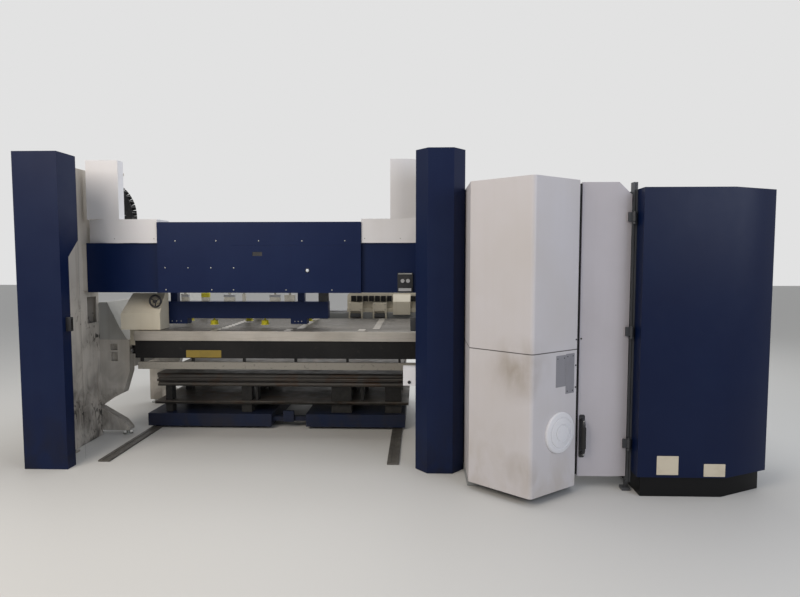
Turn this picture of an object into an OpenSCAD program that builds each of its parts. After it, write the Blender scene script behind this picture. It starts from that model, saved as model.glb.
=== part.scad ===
// CNC punch press with a loading portal, a moving table and a C-shaped press frame.
// Millimetres. X runs along the front, Y runs back from the operator, Z is up.
// The origin lies on the floor, at the middle of the outline seen from above.

/* [Overall] */
// Width over everything
overall_w = 5290; // [5000:10:5600]
// Depth over everything, from the prow to the rear ends of the rail frames
overall_d = 3800; // [3600:10:4200]
// Thickness of the cover sheets
sheet = 3; // [2:0.5:5]
// Gap between running faces
running_gap = 0.3; // [0.2:0.05:0.5]
// Radial clearance of pins and shafts
pin_gap = 0.05; // [0.02:0.01:0.1]

/* [Loading portal] */
// Distance between the inner faces of the two uprights
portal_clear = 2990; // [2800:10:3100]
// Width of an upright
upright_w = 150; // [120:5:180]
// Depth of an upright
upright_d = 450; // [380:10:500]
// Height of an upright
upright_h = 2300; // [2200:10:2350]
// Wall of the uprights and of the beam
weldment_wall = 10; // [6:1:16]
// Front of the uprights, measured from the front of the machine
upright_setback = 970; // [900:10:1000]
// Height of the beam's underside
beam_z = 1290; // [1250:5:1320]
// Height of the beam section
beam_h = 390; // [340:5:420]
// Depth of the beam section
beam_d = 202; // [160:2:220]
// Length of the proud centre cover
centre_cover_l = 1680; // [1500:10:1900]
// How far the centre cover stands proud of the side covers
centre_cover_proud = 40; // [20:2:60]
// Height of the centre cover's top edge
centre_cover_top = 1860; // [1800:5:1880]
// Height of the left and right tower covers
tower_h = 2330; // [2250:10:2400]
// Front of the tower covers, measured from the front of the machine
tower_setback = 560; // [500:10:620]
// Width of a tower cover
tower_w = 345; // [300:5:355]
// Top of the white covers over the beam's ends
upper_cover_top = 2365; // [2300:5:2400]

/* [Suction frame] */
// Height of the suction bar's underside
suction_bar_z = 1038; // [1030:1:1060]
// Height of the suction bar's section
suction_bar_h = 147; // [120:1:160]
// Left end of the suction bar from the middle of the portal
suction_bar_left = 992; // [900:2:1000]
// Right end of the suction bar from the middle of the portal
suction_bar_right = 519; // [450:2:600]
// Side of the square masts
mast_side = 60; // [50:1:70]
// Radius of a suction cup's lip
cup_r = 40; // [30:1:45]
// Height of a suction cup's lip over the floor
cup_lip_z = 978; // [974:1:990]
// Radius of a suction cup's stem
cup_stem_r = 8; // [6:0.5:10]

/* [Energy chain] */
// Bending radius at the middle of the chain
chain_r = 288; // [260:2:300]
// Height of the chain
chain_h = 86; // [70:2:90]
// Width of the chain
chain_w = 88; // [60:2:90]
// Angle that one link turns in the bend
chain_step = 9; // [7.5:1.5:9]
// Number of links in the hanging stretch
chain_hang = 13; // [12:1:13]

/* [Table] */
// Height of the sheet plane
table_z = 950; // [930:1:960]
// Distance from the middle of the machine to the outer ends of the tables
table_reach = 2095; // [2000:5:2100]
// Front edge of the table, measured from the front of the machine
table_setback = 1230; // [1200:5:1260]
// Depth of the table
table_d = 1125; // [1000:5:1130]
// Thickness of the table plates
table_plate = 12; // [10:1:16]
// Height of the bright front edge
table_edge_h = 80; // [60:2:90]
// Height of the beams under the table
table_beam_h = 150; // [120:5:160]
// Distance between two rows of brushes
brush_pitch = 90; // [70:5:120]

/* [Coordinate guide] */
// Depth of the guide beam
guide_d = 160; // [150:2:180]
// Height of the guide beam's top
guide_top = 1000; // [990:1:1005]
// Length of the carriage
carriage_l = 1500; // [1300:10:1600]
// Left end of the carriage from the middle of the portal
carriage_left = 567; // [500:1:600]
// Number of tool cassettes
cassette_count = 14; // [8:1:16]
// Distance between two tool cassettes
cassette_pitch = 62; // [58:1:70]

/* [Press frame and head] */
// Middle of the press frame across the machine
press_x = 1000; // [990:1:1010]
// Width of the press frame
press_w = 560; // [500:10:600]
// Distance from the table's front edge back to the punching axis
punch_y = 1050; // [1040:1:1055]
// Radius of the rotating sleeve
sleeve_r = 75; // [70:1:78]
// Radius of the ram
ram_r = 60; // [55:1:62]
// Radius of the punch
punch_r = 35; // [20:1:38]
// Clearance between punch and die
die_gap = 1; // [0.5:0.1:2]
// Stroke of the ram
ram_stroke = 38; // [30:1:40]
// Tooth module of the turning gears
gear_module = 2.5; // [2.25:0.25:2.5]
// Teeth of the large gears
gear_teeth = 96; // [90:1:96]
// Teeth of the pinions
pinion_teeth = 32; // [30:1:34]
// Radius of a motor
motor_r = 45; // [40:1:48]

/* [Head housing and cabinets] */
// Width of the head housing
housing_w = 700; // [680:2:710]
// Height of the head housing
housing_h = 2065; // [2000:5:2100]
// Height of the seam between the two prow covers
housing_seam = 969; // [900:1:1000]
// Radius of the round cover on the prow
disc_r = 135; // [110:1:150]
// Width of the service door
door_w = 324; // [300:2:330]
// Height of the service door
door_h = 1956; // [1900:2:1970]
// Radius of the hinge pins
hinge_r = 8; // [6:0.5:10]
// Width of the control cabinet
cabinet_w = 910; // [880:2:915]
// Depth of the control cabinet
cabinet_d = 800; // [700:10:900]
// Height of the control cabinet's top
cabinet_top = 2010; // [1950:5:2050]
// Height of the cabinet's black plinth
plinth_h = 137; // [100:1:160]

/* [Sheet cart] */
// Radius of the cart's wheels
wheel_r = 40; // [36:1:42]
// Top of the cart
cart_top = 140; // [130:1:150]
// Depth of the cart
cart_d = 1170; // [1000:10:1200]
// Height of the floor rails
floor_rail_h = 12; // [8:1:14]

/* [Hidden] */

// Colours
blue = "#1e2c52";
white = "#dcdcdc";
cream = "#d8d4c4";
grey = "#9a9c9c";
black = "#1b1c20";
steel = "#a9adb2";
yellow = "#c9c43a";

// Outline of the machine
x_left = -overall_w / 2;
x_right = overall_w / 2;
y_front = -overall_d / 2;
y_rear = overall_d / 2;
cut = 1;

// Portal places
portal_half = portal_clear / 2;
portal_x = x_left + upright_w + portal_half;
upright_y0 = y_front + upright_setback;
upright_y1 = upright_y0 + upright_d;
beam_top = beam_z + beam_h;
beam_y1 = upright_y1 - 25;
beam_y0 = beam_y1 - beam_d;
cover_y = beam_y0 - sheet;
cover_bottom = beam_z - 10;
cover_top = beam_top + 10;
cover_end_gap = 40;
centre_x0 = portal_x - centre_cover_l / 2;
centre_x1 = portal_x + centre_cover_l / 2;
centre_y = cover_y - centre_cover_proud;
tower_y = y_front + tower_setback;
tower_back = 230;
tower_cut_low = 1572;
tower_cut_high = 1702;
tower_cut_back = 100;
tower_edge = 15;
flare = 85;
flare_d = 100;
right_tower_x1 = portal_x + portal_half + upright_w - 2;
right_tower_x0 = right_tower_x1 - tower_w - 10;
key_box_x1 = right_tower_x0;
key_y = tower_y + flare_d;
upper_cover_d = 90;
panel_x0 = portal_x + 1137;
button_z = cover_bottom + 100;
button_r = 8;

// Lift places
suction_y = beam_y1 + 120;
suction_d = 100;
suction_x0 = portal_x - suction_bar_left;
suction_x1 = portal_x + suction_bar_right;
suction_top = suction_bar_z + suction_bar_h;
mast_x = [suction_x0 + 140, suction_x1 - 241];
mast_top = 1850;
guide_block_z = 1490;
guide_block_h = 190;
guide_block_w = mast_side + 56;
foot_block_x = [suction_x0 + 95, suction_x0 + 1181];
foot_block_w = [168, 142];
arm_x = [mast_x[0], (mast_x[0] + mast_x[1]) / 2, mast_x[1]];
arm_side = 60;
arm_z = suction_bar_z + 22;
arm_reach = 685;
cup_h = 42;
cup_top = cup_lip_z + cup_h;
bar_cup_x = [suction_x0 + 487, suction_x0 + 942];
arm_cup_y = [suction_y + 325, suction_y + 685];

// Chain places
chain_cx = portal_x - portal_half - 14;
chain_cz = 1937;
chain_y0 = upright_y1 + 10;
chain_y1 = chain_y0 + chain_w;
chain_pitch = 2 * chain_r * tan(chain_step / 2);
chain_bend = 90 / chain_step;
chain_joint_r = chain_r / cos(chain_step / 2);
chain_x = chain_cx + chain_joint_r;
chain_bottom = chain_cz - chain_hang * chain_pitch;
chain_bar = 5;
chain_plate_t = 5;
chain_lug_r = 12;
chain_pin_r = 5;

// Table places
table_y0 = y_front + table_setback;
table_y1 = table_y0 + table_d;
bed_in = 10;
left_bed_x1 = press_x - housing_w / 2 - bed_in;
notch_x = portal_x + portal_half - 10;
notch_y = upright_y1 + 10;
right_bed_x0 = press_x + housing_w / 2 + bed_in;
beam_under = table_z - table_edge_h - table_beam_h;
guide_y0 = table_y1 + 75;
guide_y1 = guide_y0 + guide_d;
guide_low = 780;
rail_x = table_reach + 136;
rail_w = 20;
rail_h = 30;
rail_z = 735;
rail_y0 = upright_y1 + 20;
rail_frame_w = 369;
rail_frame_y0 = upright_y1;
end_cover_w = 342;
wheel_x = -rail_x + end_cover_w - 41;
hand_z = 1200;
hand_y = cover_y + 98;
spoke_r = 5;
hub_back = spoke_r + 2;
x_rail_y = [guide_y0 + 20, guide_y1 - 40];
x_rail_w = 20;
x_rail_h = 22;
brush_w = 20;
brush_depth = 8;
brush_rise = 3;

// Carriage places
carriage_x0 = portal_x + carriage_left;
carriage_x1 = carriage_x0 + carriage_l;
base_z0 = guide_top + 8;
base_z1 = guide_top + 50;
hood_top = 1207;
hood_r = 40;
clamp_x = [carriage_x0 + 94, carriage_x0 + 343];
end_hood_x0 = carriage_x0 + 480;
end_hood_x1 = carriage_x0 + 660;
clamp_w = 145;
jaw_w = 110;
jaw_pin_r = 6;
jaw_y = guide_y0 - 30;
jaw_z = table_z + 32;
clamp_front = table_y1 + 13;

// Press places
press_x0 = press_x - press_w / 2;
press_x1 = press_x + press_w / 2;
press_y0 = y_front + 340;
axis_y = table_y0 + punch_y;
foot_y1 = press_y0 + 1060;
press_bottom = 50;
press_top = 1950;
arm_low_top = 860;
arm_up_bottom = 1240;
arm_low_under = 350;
arm_low_end = axis_y - 150;
arm_up_end = axis_y - 150;
arm_up_nose = 1800;
arm_up_slope_y = arm_up_end - 530;
throat_y = table_y0 - 150;
throat_r = 100;
press_plate = 60;
press_web = 40;
block_y1 = axis_y + 115;
head_top = 1900;
ram_top = 1600;
sleeve_l = 500;
sleeve_seat = 20;
head_z = 1180;
die_z = 640;
gear_t = 30;
gear_drop = 10;
lug_t = 20;
shaft_r = 12;
gear_r = gear_module * gear_teeth / 2;
pinion_r = gear_module * pinion_teeth / 2;
gear_distance = gear_r + pinion_r;
block_w = 2 * (gear_distance - motor_r - 5);
lug_l = 2 * motor_r + 10;
motor_h = 190;
die_r = 65;

// Housing places
housing_x0 = press_x - housing_w / 2;
housing_x1 = press_x + housing_w / 2;
housing_z = press_bottom;
housing_back = table_y0 - 90;
prow_x = 1010;
prow_y = y_front;
prow_left_y = y_front + 289;
prow_right_y = y_front + 244;
prow_r = 30;
door_x0 = housing_x1 + 26;
door_x1 = door_x0 + door_w;
door_y = y_front + 280;
door_z = 100;
door_return = 25;
hinge_x = door_x1 + 10;
hinge_y = door_y - 12;
knuckle_z = [300, 1050, 1800];
knuckle_h = 60;
knuckle_r = 14;
cabinet_x0 = x_right - cabinet_w;
cabinet_y0 = y_front + 170;
cabinet_bevel = 345;
cabinet_bevel_d = 160;

// Cart places
cart_y0 = table_y0 + 400;
cart_y1 = cart_y0 + cart_d;
cart_x0 = portal_x - 1184;
cart_x1 = portal_x + 1191;
track_x = [portal_x - 1110, portal_x + 1117];
track_w = 90;
axle_y = [cart_y0 + 120, cart_y1 - 150];
axle_z = floor_rail_h - 4 + wheel_r + running_gap;
axle_r = 10;
lower_pack_z = 225;
upper_pack_z = 385;

// A block given by its two corners
module block(x0, x1, y0, y1, z0, z1) {
    translate([x0, y0, z0]) cube([x1 - x0, y1 - y0, z1 - z0]);
}

// An outline in Y and Z, extruded along X
module along_x(x0, x1) {
    translate([x0, 0, 0]) rotate([90, 0, 90]) linear_extrude(x1 - x0) children();
}

// An outline in X and Z, extruded along Y
module along_y(y0, y1) {
    translate([0, y1, 0]) rotate([90, 0, 0]) linear_extrude(y1 - y0) children();
}

// Points of an arc
function arc(c, r, a0, a1, n) =
    [for (i = [0:n]) c + r * [cos(a0 + (a1 - a0) * i / n), sin(a0 + (a1 - a0) * i / n)]];

// Outline of the C-shaped press frame, drawn e inside its outer faces
function c_outline(e) = concat(
    [[press_y0 + e, press_bottom + e], [foot_y1, press_bottom + e],
     [arm_low_end - e, arm_low_under + e], [arm_low_end - e, arm_low_top - e]],
    arc([throat_y + throat_r, arm_low_top + throat_r], throat_r + e, 270, 180, 6),
    arc([throat_y + throat_r, arm_up_bottom - throat_r], throat_r + e, 180, 90, 6),
    [[arm_up_end - e, arm_up_bottom + e], [arm_up_end - e, arm_up_nose - e],
     [arm_up_slope_y, press_top - e], [press_y0 + e, press_top - e]]
);

module c_frame() color(grey) {
    difference() {
        along_x(press_x0, press_x1) polygon(c_outline(0));
        along_x(press_x0 + press_plate, press_x1 - press_plate) polygon(c_outline(press_web));
    }
    block(portal_x + portal_half + upright_w, housing_x1, press_y0, foot_y1, 0, press_bottom);
}

// Bracket for a turning motor, with the shaft's bearing hole
module motor_lug(z) {
    difference() {
        block(press_x + block_w / 2, press_x + block_w / 2 + lug_l,
              axis_y - motor_r, axis_y + motor_r, z, z + lug_t);
        translate([press_x + gear_distance, axis_y, z - cut])
            cylinder(r = shaft_r + pin_gap, h = lug_t + 2 * cut, $fn = 48);
    }
}

module head_block() color(grey) {
    difference() {
        union() {
            block(press_x - block_w / 2, press_x + block_w / 2, arm_up_end, block_y1, head_z, head_top);
            translate([press_x, axis_y, head_top]) cylinder(r = 90, h = 120, $fn = 64);
        }
        translate([press_x, axis_y, head_z - cut])
            cylinder(r = sleeve_r + pin_gap, h = sleeve_l + sleeve_seat + cut, $fn = 96);
    }
    motor_lug(head_z);
}

module die_block() color(grey) {
    difference() {
        block(press_x - block_w / 2, press_x + block_w / 2, arm_low_end, block_y1,
              die_z, arm_low_top);
        translate([press_x, axis_y, die_z - cut])
            cylinder(r = die_r + pin_gap, h = arm_low_top - die_z + 2 * cut, $fn = 96);
    }
    motor_lug(die_z);
}

module die_table() color(cream) {
    rib_x = [press_x0 + 20, press_x - 10, press_x1 - 40];
    difference() {
        block(housing_x0 + 5, housing_x1 - 5, table_y0 + 10, table_y1,
              table_z - table_plate, table_z);
        translate([press_x, axis_y, table_z - 2 * table_plate])
            cylinder(r = die_r + 1, h = 3 * table_plate, $fn = 96);
    }
    for (x = rib_x)
        block(x, x + 20, table_y0 + 30, arm_low_end - 10, arm_low_top, table_z - table_plate);
}

// A turning motor standing on its bracket
module tool_motor(z) {
    translate([press_x + gear_distance, axis_y, z + lug_t]) difference() {
        union() {
            cylinder(r = motor_r, h = motor_h, $fn = 64);
            translate([0, 0, motor_h]) cylinder(r = motor_r - 8, h = 24, $fn = 64);
        }
        translate([0, 0, -cut]) cylinder(r = shaft_r + pin_gap, h = 16 + cut, $fn = 48);
    }
}

module tool_motors() color(black) {
    tool_motor(head_z);
    tool_motor(die_z);
}

// Flat outline of a spur gear with straight-sided teeth
module gear_2d(teeth, turn) {
    r = gear_module * teeth / 2;
    tip = r + 0.85 * gear_module;
    root = r - 1.15 * gear_module;
    a = 360 / teeth;
    polygon([for (i = [0:teeth - 1]) for (p = [[root, -0.31], [tip, -0.13], [tip, 0.13], [root, 0.31]])
        p[0] * [cos(turn + a * (i + p[1])), sin(turn + a * (i + p[1]))]]);
}

module punch_sleeve() color(steel) {
    translate([press_x, axis_y, head_z - gear_drop - gear_t]) difference() {
        union() {
            linear_extrude(gear_t) gear_2d(gear_teeth, 0);
            translate([0, 0, gear_t]) cylinder(r = sleeve_r, h = gear_drop + sleeve_l, $fn = 96);
        }
        translate([0, 0, -cut])
            cylinder(r = ram_r + pin_gap, h = gear_t + gear_drop + sleeve_l + 2 * cut, $fn = 96);
    }
}

module ram() color(steel) {
    tip_z = table_z + ram_stroke - 3;
    translate([press_x, axis_y, 0]) {
        translate([0, 0, tip_z + 75]) cylinder(r = ram_r, h = ram_top - tip_z - 75, $fn = 96);
        translate([0, 0, tip_z + 25]) cylinder(r = punch_r + 12, h = 50, $fn = 64);
        translate([0, 0, tip_z]) cylinder(r = punch_r, h = 25, $fn = 64);
    }
}

module die_holder() color(steel) {
    z0 = die_z - gear_drop - gear_t;
    translate([press_x, axis_y, 0]) difference() {
        union() {
            translate([0, 0, z0]) linear_extrude(gear_t) gear_2d(gear_teeth, 0);
            translate([0, 0, z0 + gear_t]) cylinder(r = die_r, h = table_z - 1 - z0 - gear_t, $fn = 96);
        }
        translate([0, 0, z0 - cut])
            cylinder(r = punch_r + die_gap, h = table_z - z0 + 2 * cut, $fn = 64);
        translate([0, 0, z0 - cut]) cylinder(r = punch_r + 10, h = table_z - 30 - z0, $fn = 64);
    }
}

// A pinion and its shaft, in mesh with a large gear
module pinion(z) {
    z0 = z - gear_drop - gear_t;
    translate([press_x + gear_distance, axis_y, z0]) {
        linear_extrude(gear_t) gear_2d(pinion_teeth, 180 + 180 / pinion_teeth);
        translate([0, 0, gear_t]) cylinder(r = shaft_r, h = gear_drop + lug_t + 15, $fn = 48);
    }
}

module upper_pinion() color(steel) pinion(head_z);

module lower_pinion() color(steel) pinion(die_z);

// One upright of the portal; side is -1 on the left and 1 on the right
module upright(side) {
    x_in = portal_x + side * portal_half;
    x0 = side < 0 ? x_in - upright_w : x_in;
    window = [[upright_y0 + 274, 1010], [upright_y0 + 413, 1235]];
    difference() {
        block(x0, x0 + upright_w, upright_y0, upright_y1, 0, upright_h);
        block(x0 + weldment_wall, x0 + upright_w - weldment_wall,
              upright_y0 + weldment_wall, upright_y1 - weldment_wall,
              weldment_wall, upright_h - weldment_wall);
        block(x_in - 2 * weldment_wall, x_in + 2 * weldment_wall,
              window[0][0], window[1][0], window[0][1], window[1][1]);
    }
    block(x0 + 20, x0 + upright_w + (side < 0 ? 60 : -20), upright_y0 - 140, upright_y0, 0, 14);
}

module portal_frame() color(white) {
    upright(-1);
    upright(1);
    difference() {
        block(portal_x - portal_half, portal_x + portal_half, beam_y0, beam_y1, beam_z, beam_top);
        block(portal_x - portal_half - cut, portal_x + portal_half + cut,
              beam_y0 + weldment_wall, beam_y1 - weldment_wall,
              beam_z + weldment_wall, beam_top - weldment_wall);
    }
    // Quarter disc that the chain bends round, its anchor and the bar above it
    along_y(upright_y1, upright_y1 + 8) polygon(concat(
        [[chain_cx - 120, chain_cz - 40], [chain_cx + chain_r - chain_h / 2 - 4, chain_cz - 40]],
        arc([chain_cx, chain_cz], chain_r - chain_h / 2 - 4, 0, 90, 12),
        [[chain_cx - 60, chain_cz + chain_r - chain_h / 2 - 4],
         [chain_cx - 60, chain_cz + chain_r + chain_h / 2 + 30],
         [chain_cx - 120, chain_cz + chain_r + chain_h / 2 + 30]]
    ));
    block(chain_cx - 120, chain_cx - chain_pitch - chain_lug_r - running_gap, upright_y1, chain_y1,
          chain_cz + chain_r - chain_h / 2, chain_cz + chain_r + chain_h / 2);
    block(chain_cx - 60, chain_cx + 265, upright_y1, upright_y1 + 20,
          chain_cz + chain_r + chain_h / 2 + 8, chain_cz + chain_r + chain_h / 2 + 30);
    block(chain_cx - 120, chain_cx - 60, upright_y1, upright_y1 + 20,
          chain_cz + chain_r + chain_h / 2, chain_cz + chain_r + chain_h / 2 + 30);
}

// Plan of a tower cover, drawn e inside its outer faces
function tower_plan(x_out, x_in, f_out, f_in, side, e) = [
    [x_out - side * e, upright_y0],
    [x_out - side * e, tower_y + flare_d],
    [x_out - side * (f_out + e * 0.7), tower_y + e],
    [x_in + side * (f_in + e * 0.7), tower_y + e],
    [x_in + side * e, tower_y + flare_d],
    [x_in + side * e, tower_y + tower_back]
];

// A folded tower cover with its top cap; side is -1 on the left and 1 on the right
module tower_cover(x_out, x_in, f_out, f_in, side, h, cut_inner) {
    shut = [[x_out - side * sheet, upright_y0], [x_in + side * sheet, tower_y + tower_back]];
    difference() {
        linear_extrude(h) polygon(tower_plan(x_out, x_in, f_out, f_in, side, 0));
        translate([0, 0, -cut]) linear_extrude(h - sheet + cut) polygon(concat(
            [shut[0] + [0, 2 * cut]],
            tower_plan(x_out, x_in, f_out, f_in, side, sheet),
            [shut[1] + [0, 2 * cut]]
        ));
        if (cut_inner)
            along_x(min(x_in, x_in + side * 40), max(x_in, x_in + side * 40) + cut) polygon([
                [tower_y + tower_cut_back, -cut], [tower_y + tower_cut_back, tower_cut_low],
                [tower_y + tower_back + cut, tower_cut_high], [tower_y + tower_back + cut, -cut]
            ]);
    }
}

module left_tower_cover() color(blue)
    tower_cover(x_left + tower_edge, x_left + tower_edge + tower_w, 15, 2, -1, tower_h, true);

module right_tower_cover() color(blue)
    tower_cover(right_tower_x1, right_tower_x0, flare, flare, 1, tower_h + 8, false);

module beam_centre_cover() color(blue) {
    seam_z = 1666;
    slot = [centre_x0 + 789, 1583, 80, 33];
    difference() {
        union() {
            block(centre_x0, centre_x1, centre_y, cover_y, cover_bottom, centre_cover_top);
            block(centre_x0, centre_x1, cover_y, beam_y0, beam_top + 20, centre_cover_top);
            block(centre_x0, centre_x1, beam_y0, beam_y1, beam_top + 20, centre_cover_top);
        }
        block(centre_x0 + sheet, centre_x1 - sheet, centre_y + sheet, beam_y1 + cut,
              cover_bottom + sheet, centre_cover_top - sheet);
        block(centre_x0 + 615, centre_x1 + cut, centre_y - cut, centre_y + sheet / 3, seam_z, seam_z + 4);
        block(slot[0], slot[0] + slot[2], centre_y - cut, centre_y + sheet + cut,
              slot[1], slot[1] + slot[3]);
    }
    block(centre_x0, centre_x0 + 30, cover_y, beam_y0, cover_bottom, beam_top);
    block(centre_x1 - 30, centre_x1, cover_y, beam_y0, cover_bottom, beam_top);
}

// Folded cover over one side of the beam
module beam_side_cover(x0, x1) {
    difference() {
        block(x0, x1, cover_y, beam_y1, cover_bottom, cover_top);
        block(x0 - cut, x1 + cut, beam_y0, beam_y1 + cut, cover_bottom + sheet, cover_top - sheet);
    }
}

module beam_side_covers() color(blue) {
    beam_side_cover(portal_x - portal_half + cover_end_gap, centre_x0);
    beam_side_cover(centre_x1, portal_x + portal_half - cover_end_gap);
}

// Distances from the portal's middle, along the front of a corner cover, drawn e inside
function corner_plan(side, crease, e) = [
    [portal_x + side * (centre_cover_l / 2 + 2 + e), beam_y1 + (e > 0 ? cut : 0)],
    [portal_x + side * (centre_cover_l / 2 + 2 + e), cover_y - 25 + e],
    [portal_x + side * (crease - e / 2), cover_y - 25 + e],
    [portal_x + side * (portal_half - 40 - e), cover_y + 60 + e],
    [portal_x + side * (portal_half - 40 - e), beam_y1 + (e > 0 ? cut : 0)]
];

// White folded cover on a beam end, with a crease that leans outwards
module corner_cover(side) {
    z1 = 1885;
    difference() {
        hull() {
            translate([0, 0, cover_top]) linear_extrude(0.01) polygon(corner_plan(side, 1190, 0));
            translate([0, 0, z1 - 0.01]) linear_extrude(0.01) polygon(corner_plan(side, 1280, 0));
        }
        hull() {
            translate([0, 0, cover_top - cut]) linear_extrude(0.01)
                polygon(corner_plan(side, 1190, sheet));
            translate([0, 0, z1 - sheet]) linear_extrude(0.01)
                polygon(corner_plan(side, 1280, sheet));
        }
    }
}

module corner_covers() color(white) {
    corner_cover(-1);
    corner_cover(1);
}

// Tall white cover that stands on a corner cover
module upper_cover(side, inner, crease) {
    z0 = 1885;
    outer = portal_half - 35;
    y0 = cover_y - 25;
    y1 = y0 + upper_cover_d;
    difference() {
        translate([0, 0, z0]) linear_extrude(upper_cover_top - z0) polygon([
            [portal_x + side * inner, y1], [portal_x + side * inner, y0],
            [portal_x + side * crease, y0], [portal_x + side * outer, y0 + 60],
            [portal_x + side * outer, y1]
        ]);
        translate([0, 0, z0 - cut]) linear_extrude(upper_cover_top - z0 - sheet + cut) polygon([
            [portal_x + side * (inner + sheet), y1 + cut],
            [portal_x + side * (inner + sheet), y0 + sheet],
            [portal_x + side * (crease - 1), y0 + sheet],
            [portal_x + side * (outer - sheet), y0 + 60 + sheet],
            [portal_x + side * (outer - sheet), y1 + cut]
        ]);
    }
}

module upper_covers() color(white) {
    upper_cover(-1, 1157, 1425);
    upper_cover(1, 1079, 1200);
}

// Side view of a link's outer plate: a round lug ahead, the previous lug's seat behind
module chain_plate_2d() {
    l = chain_pitch - running_gap;
    inner = (chain_r - chain_h / 2) / chain_r * chain_pitch - running_gap;
    h = chain_h / 2;
    difference() {
        union() {
            polygon([[-l / 2, h], [l / 2, h], [l / 2, 0], [inner / 2, -h], [-inner / 2, -h], [-l / 2, 0]]);
            translate([chain_pitch / 2, 0]) circle(r = chain_lug_r, $fn = 32);
        }
        translate([-chain_pitch / 2, 0]) circle(r = chain_lug_r + running_gap, $fn = 32);
    }
}

// Side view of a link's inner lug, which laps the next plate and turns on its pin
module chain_lug_2d() {
    difference() {
        union() {
            translate([-chain_pitch / 2, 0]) circle(r = chain_lug_r, $fn = 32);
            translate([-chain_pitch / 2, -chain_lug_r / 2]) square([chain_pitch / 2 + 8, chain_lug_r]);
        }
        translate([-chain_pitch / 2, 0]) circle(r = chain_pin_r + pin_gap, $fn = 32);
    }
}

// One side of a link, with its outer face at y = 0 and its inside towards +Y
module chain_side() {
    rotate([90, 0, 0]) translate([0, 0, -chain_plate_t]) linear_extrude(chain_plate_t) chain_plate_2d();
    rotate([90, 0, 0]) translate([0, 0, -2 * chain_plate_t - running_gap])
        linear_extrude(chain_plate_t) chain_lug_2d();
    translate([-4, chain_plate_t, -chain_lug_r / 2]) cube([12, running_gap, chain_lug_r]);
    translate([chain_pitch / 2, chain_plate_t, 0]) rotate([-90, 0, 0])
        cylinder(r = chain_pin_r, h = chain_plate_t + running_gap, $fn = 32);
}

// One chain link: two sides joined by two cross bars
module chain_link() {
    translate([0, -chain_w / 2, 0]) chain_side();
    mirror([0, 1, 0]) translate([0, -chain_w / 2, 0]) chain_side();
    for (z = [chain_h / 2 - chain_bar - 4, -chain_h / 2 + 4])
        translate([-6, -chain_w / 2 + chain_plate_t, z])
            cube([12, chain_w - 2 * chain_plate_t, chain_bar]);
}

module energy_chain() color(black) {
    mid_y = (chain_y0 + chain_y1) / 2;
    translate([chain_cx - chain_pitch / 2, mid_y, chain_cz + chain_joint_r]) chain_link();
    for (i = [0:chain_bend - 1]) translate([chain_cx, mid_y, chain_cz])
        rotate([0, (i + 0.5) * chain_step, 0]) translate([0, 0, chain_r]) chain_link();
    for (i = [0:chain_hang - 1])
        translate([chain_x, mid_y, chain_cz - (i + 0.5) * chain_pitch]) rotate([0, 90, 0]) chain_link();
}

module lift_guides() color(black) {
    for (x = mast_x) difference() {
        block(x - guide_block_w / 2, x + guide_block_w / 2, beam_y1, suction_y + mast_side / 2 + 35,
              guide_block_z, guide_block_z + guide_block_h);
        block(x - mast_side / 2 - running_gap, x + mast_side / 2 + running_gap,
              suction_y - mast_side / 2 - running_gap, suction_y + mast_side / 2 + running_gap,
              guide_block_z - cut, guide_block_z + guide_block_h + cut);
    }
}

// Bore for a cup stem
module stem_bore(x, y, z0, z1) {
    translate([x, y, z0]) cylinder(r = cup_stem_r + pin_gap, h = z1 - z0, $fn = 32);
}

module suction_frame() color(blue) {
    bracket_top = chain_bottom - chain_lug_r - running_gap;
    bracket_z = bracket_top - 14;
    difference() {
        union() {
            block(suction_x0, suction_x1, suction_y - suction_d / 2, suction_y + suction_d / 2,
                  suction_bar_z, suction_top);
            for (x = arm_x) block(x - arm_side / 2, x + arm_side / 2,
                  suction_y + suction_d / 2, suction_y + suction_d / 2 + arm_reach,
                  arm_z, arm_z + arm_side);
            for (x = mast_x) block(x - mast_side / 2, x + mast_side / 2,
                  suction_y - mast_side / 2, suction_y + mast_side / 2, suction_top, mast_top);
            for (i = [0, 1]) block(foot_block_x[i], foot_block_x[i] + foot_block_w[i],
                  suction_y - suction_d / 2, suction_y + suction_d / 2, cup_lip_z + 10, suction_bar_z);
        }
        for (x = bar_cup_x) stem_bore(x, suction_y, suction_bar_z - cut, suction_bar_z + 80);
        for (x = arm_x) for (y = arm_cup_y) stem_bore(x, y, arm_z - cut, arm_z + arm_side + cut);
    }
    block(suction_x0, suction_x0 + 60, suction_y - 50, suction_y + 30, suction_top, bracket_z);
    block(chain_x - chain_h / 2, suction_x0 + 60, chain_y0, suction_y + 30,
          bracket_z, bracket_top);
}

// A fitting of the vacuum lines: a body with a round port on top
module fitting(x, w, h) {
    translate([x, suction_y - 18, suction_top]) cube([w, 36, h]);
    translate([x + w / 2, suction_y, suction_top + h]) cylinder(r = min(w, 30) / 3, h = 18, $fn = 32);
}

module suction_fittings() color(grey) {
    places = [[201, 60, 66], [381, 66, 70], [582, 92, 55], [745, 26, 66], [989, 90, 62],
              [1120, 90, 58], [1432, 70, 74]];
    for (p = places) fitting(suction_x0 + p[0], p[1], p[2]);
    block(suction_x0 + 2, suction_x0 + 92, suction_y - 30, suction_y + 30,
          cup_lip_z + 12, suction_bar_z);
}

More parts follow.
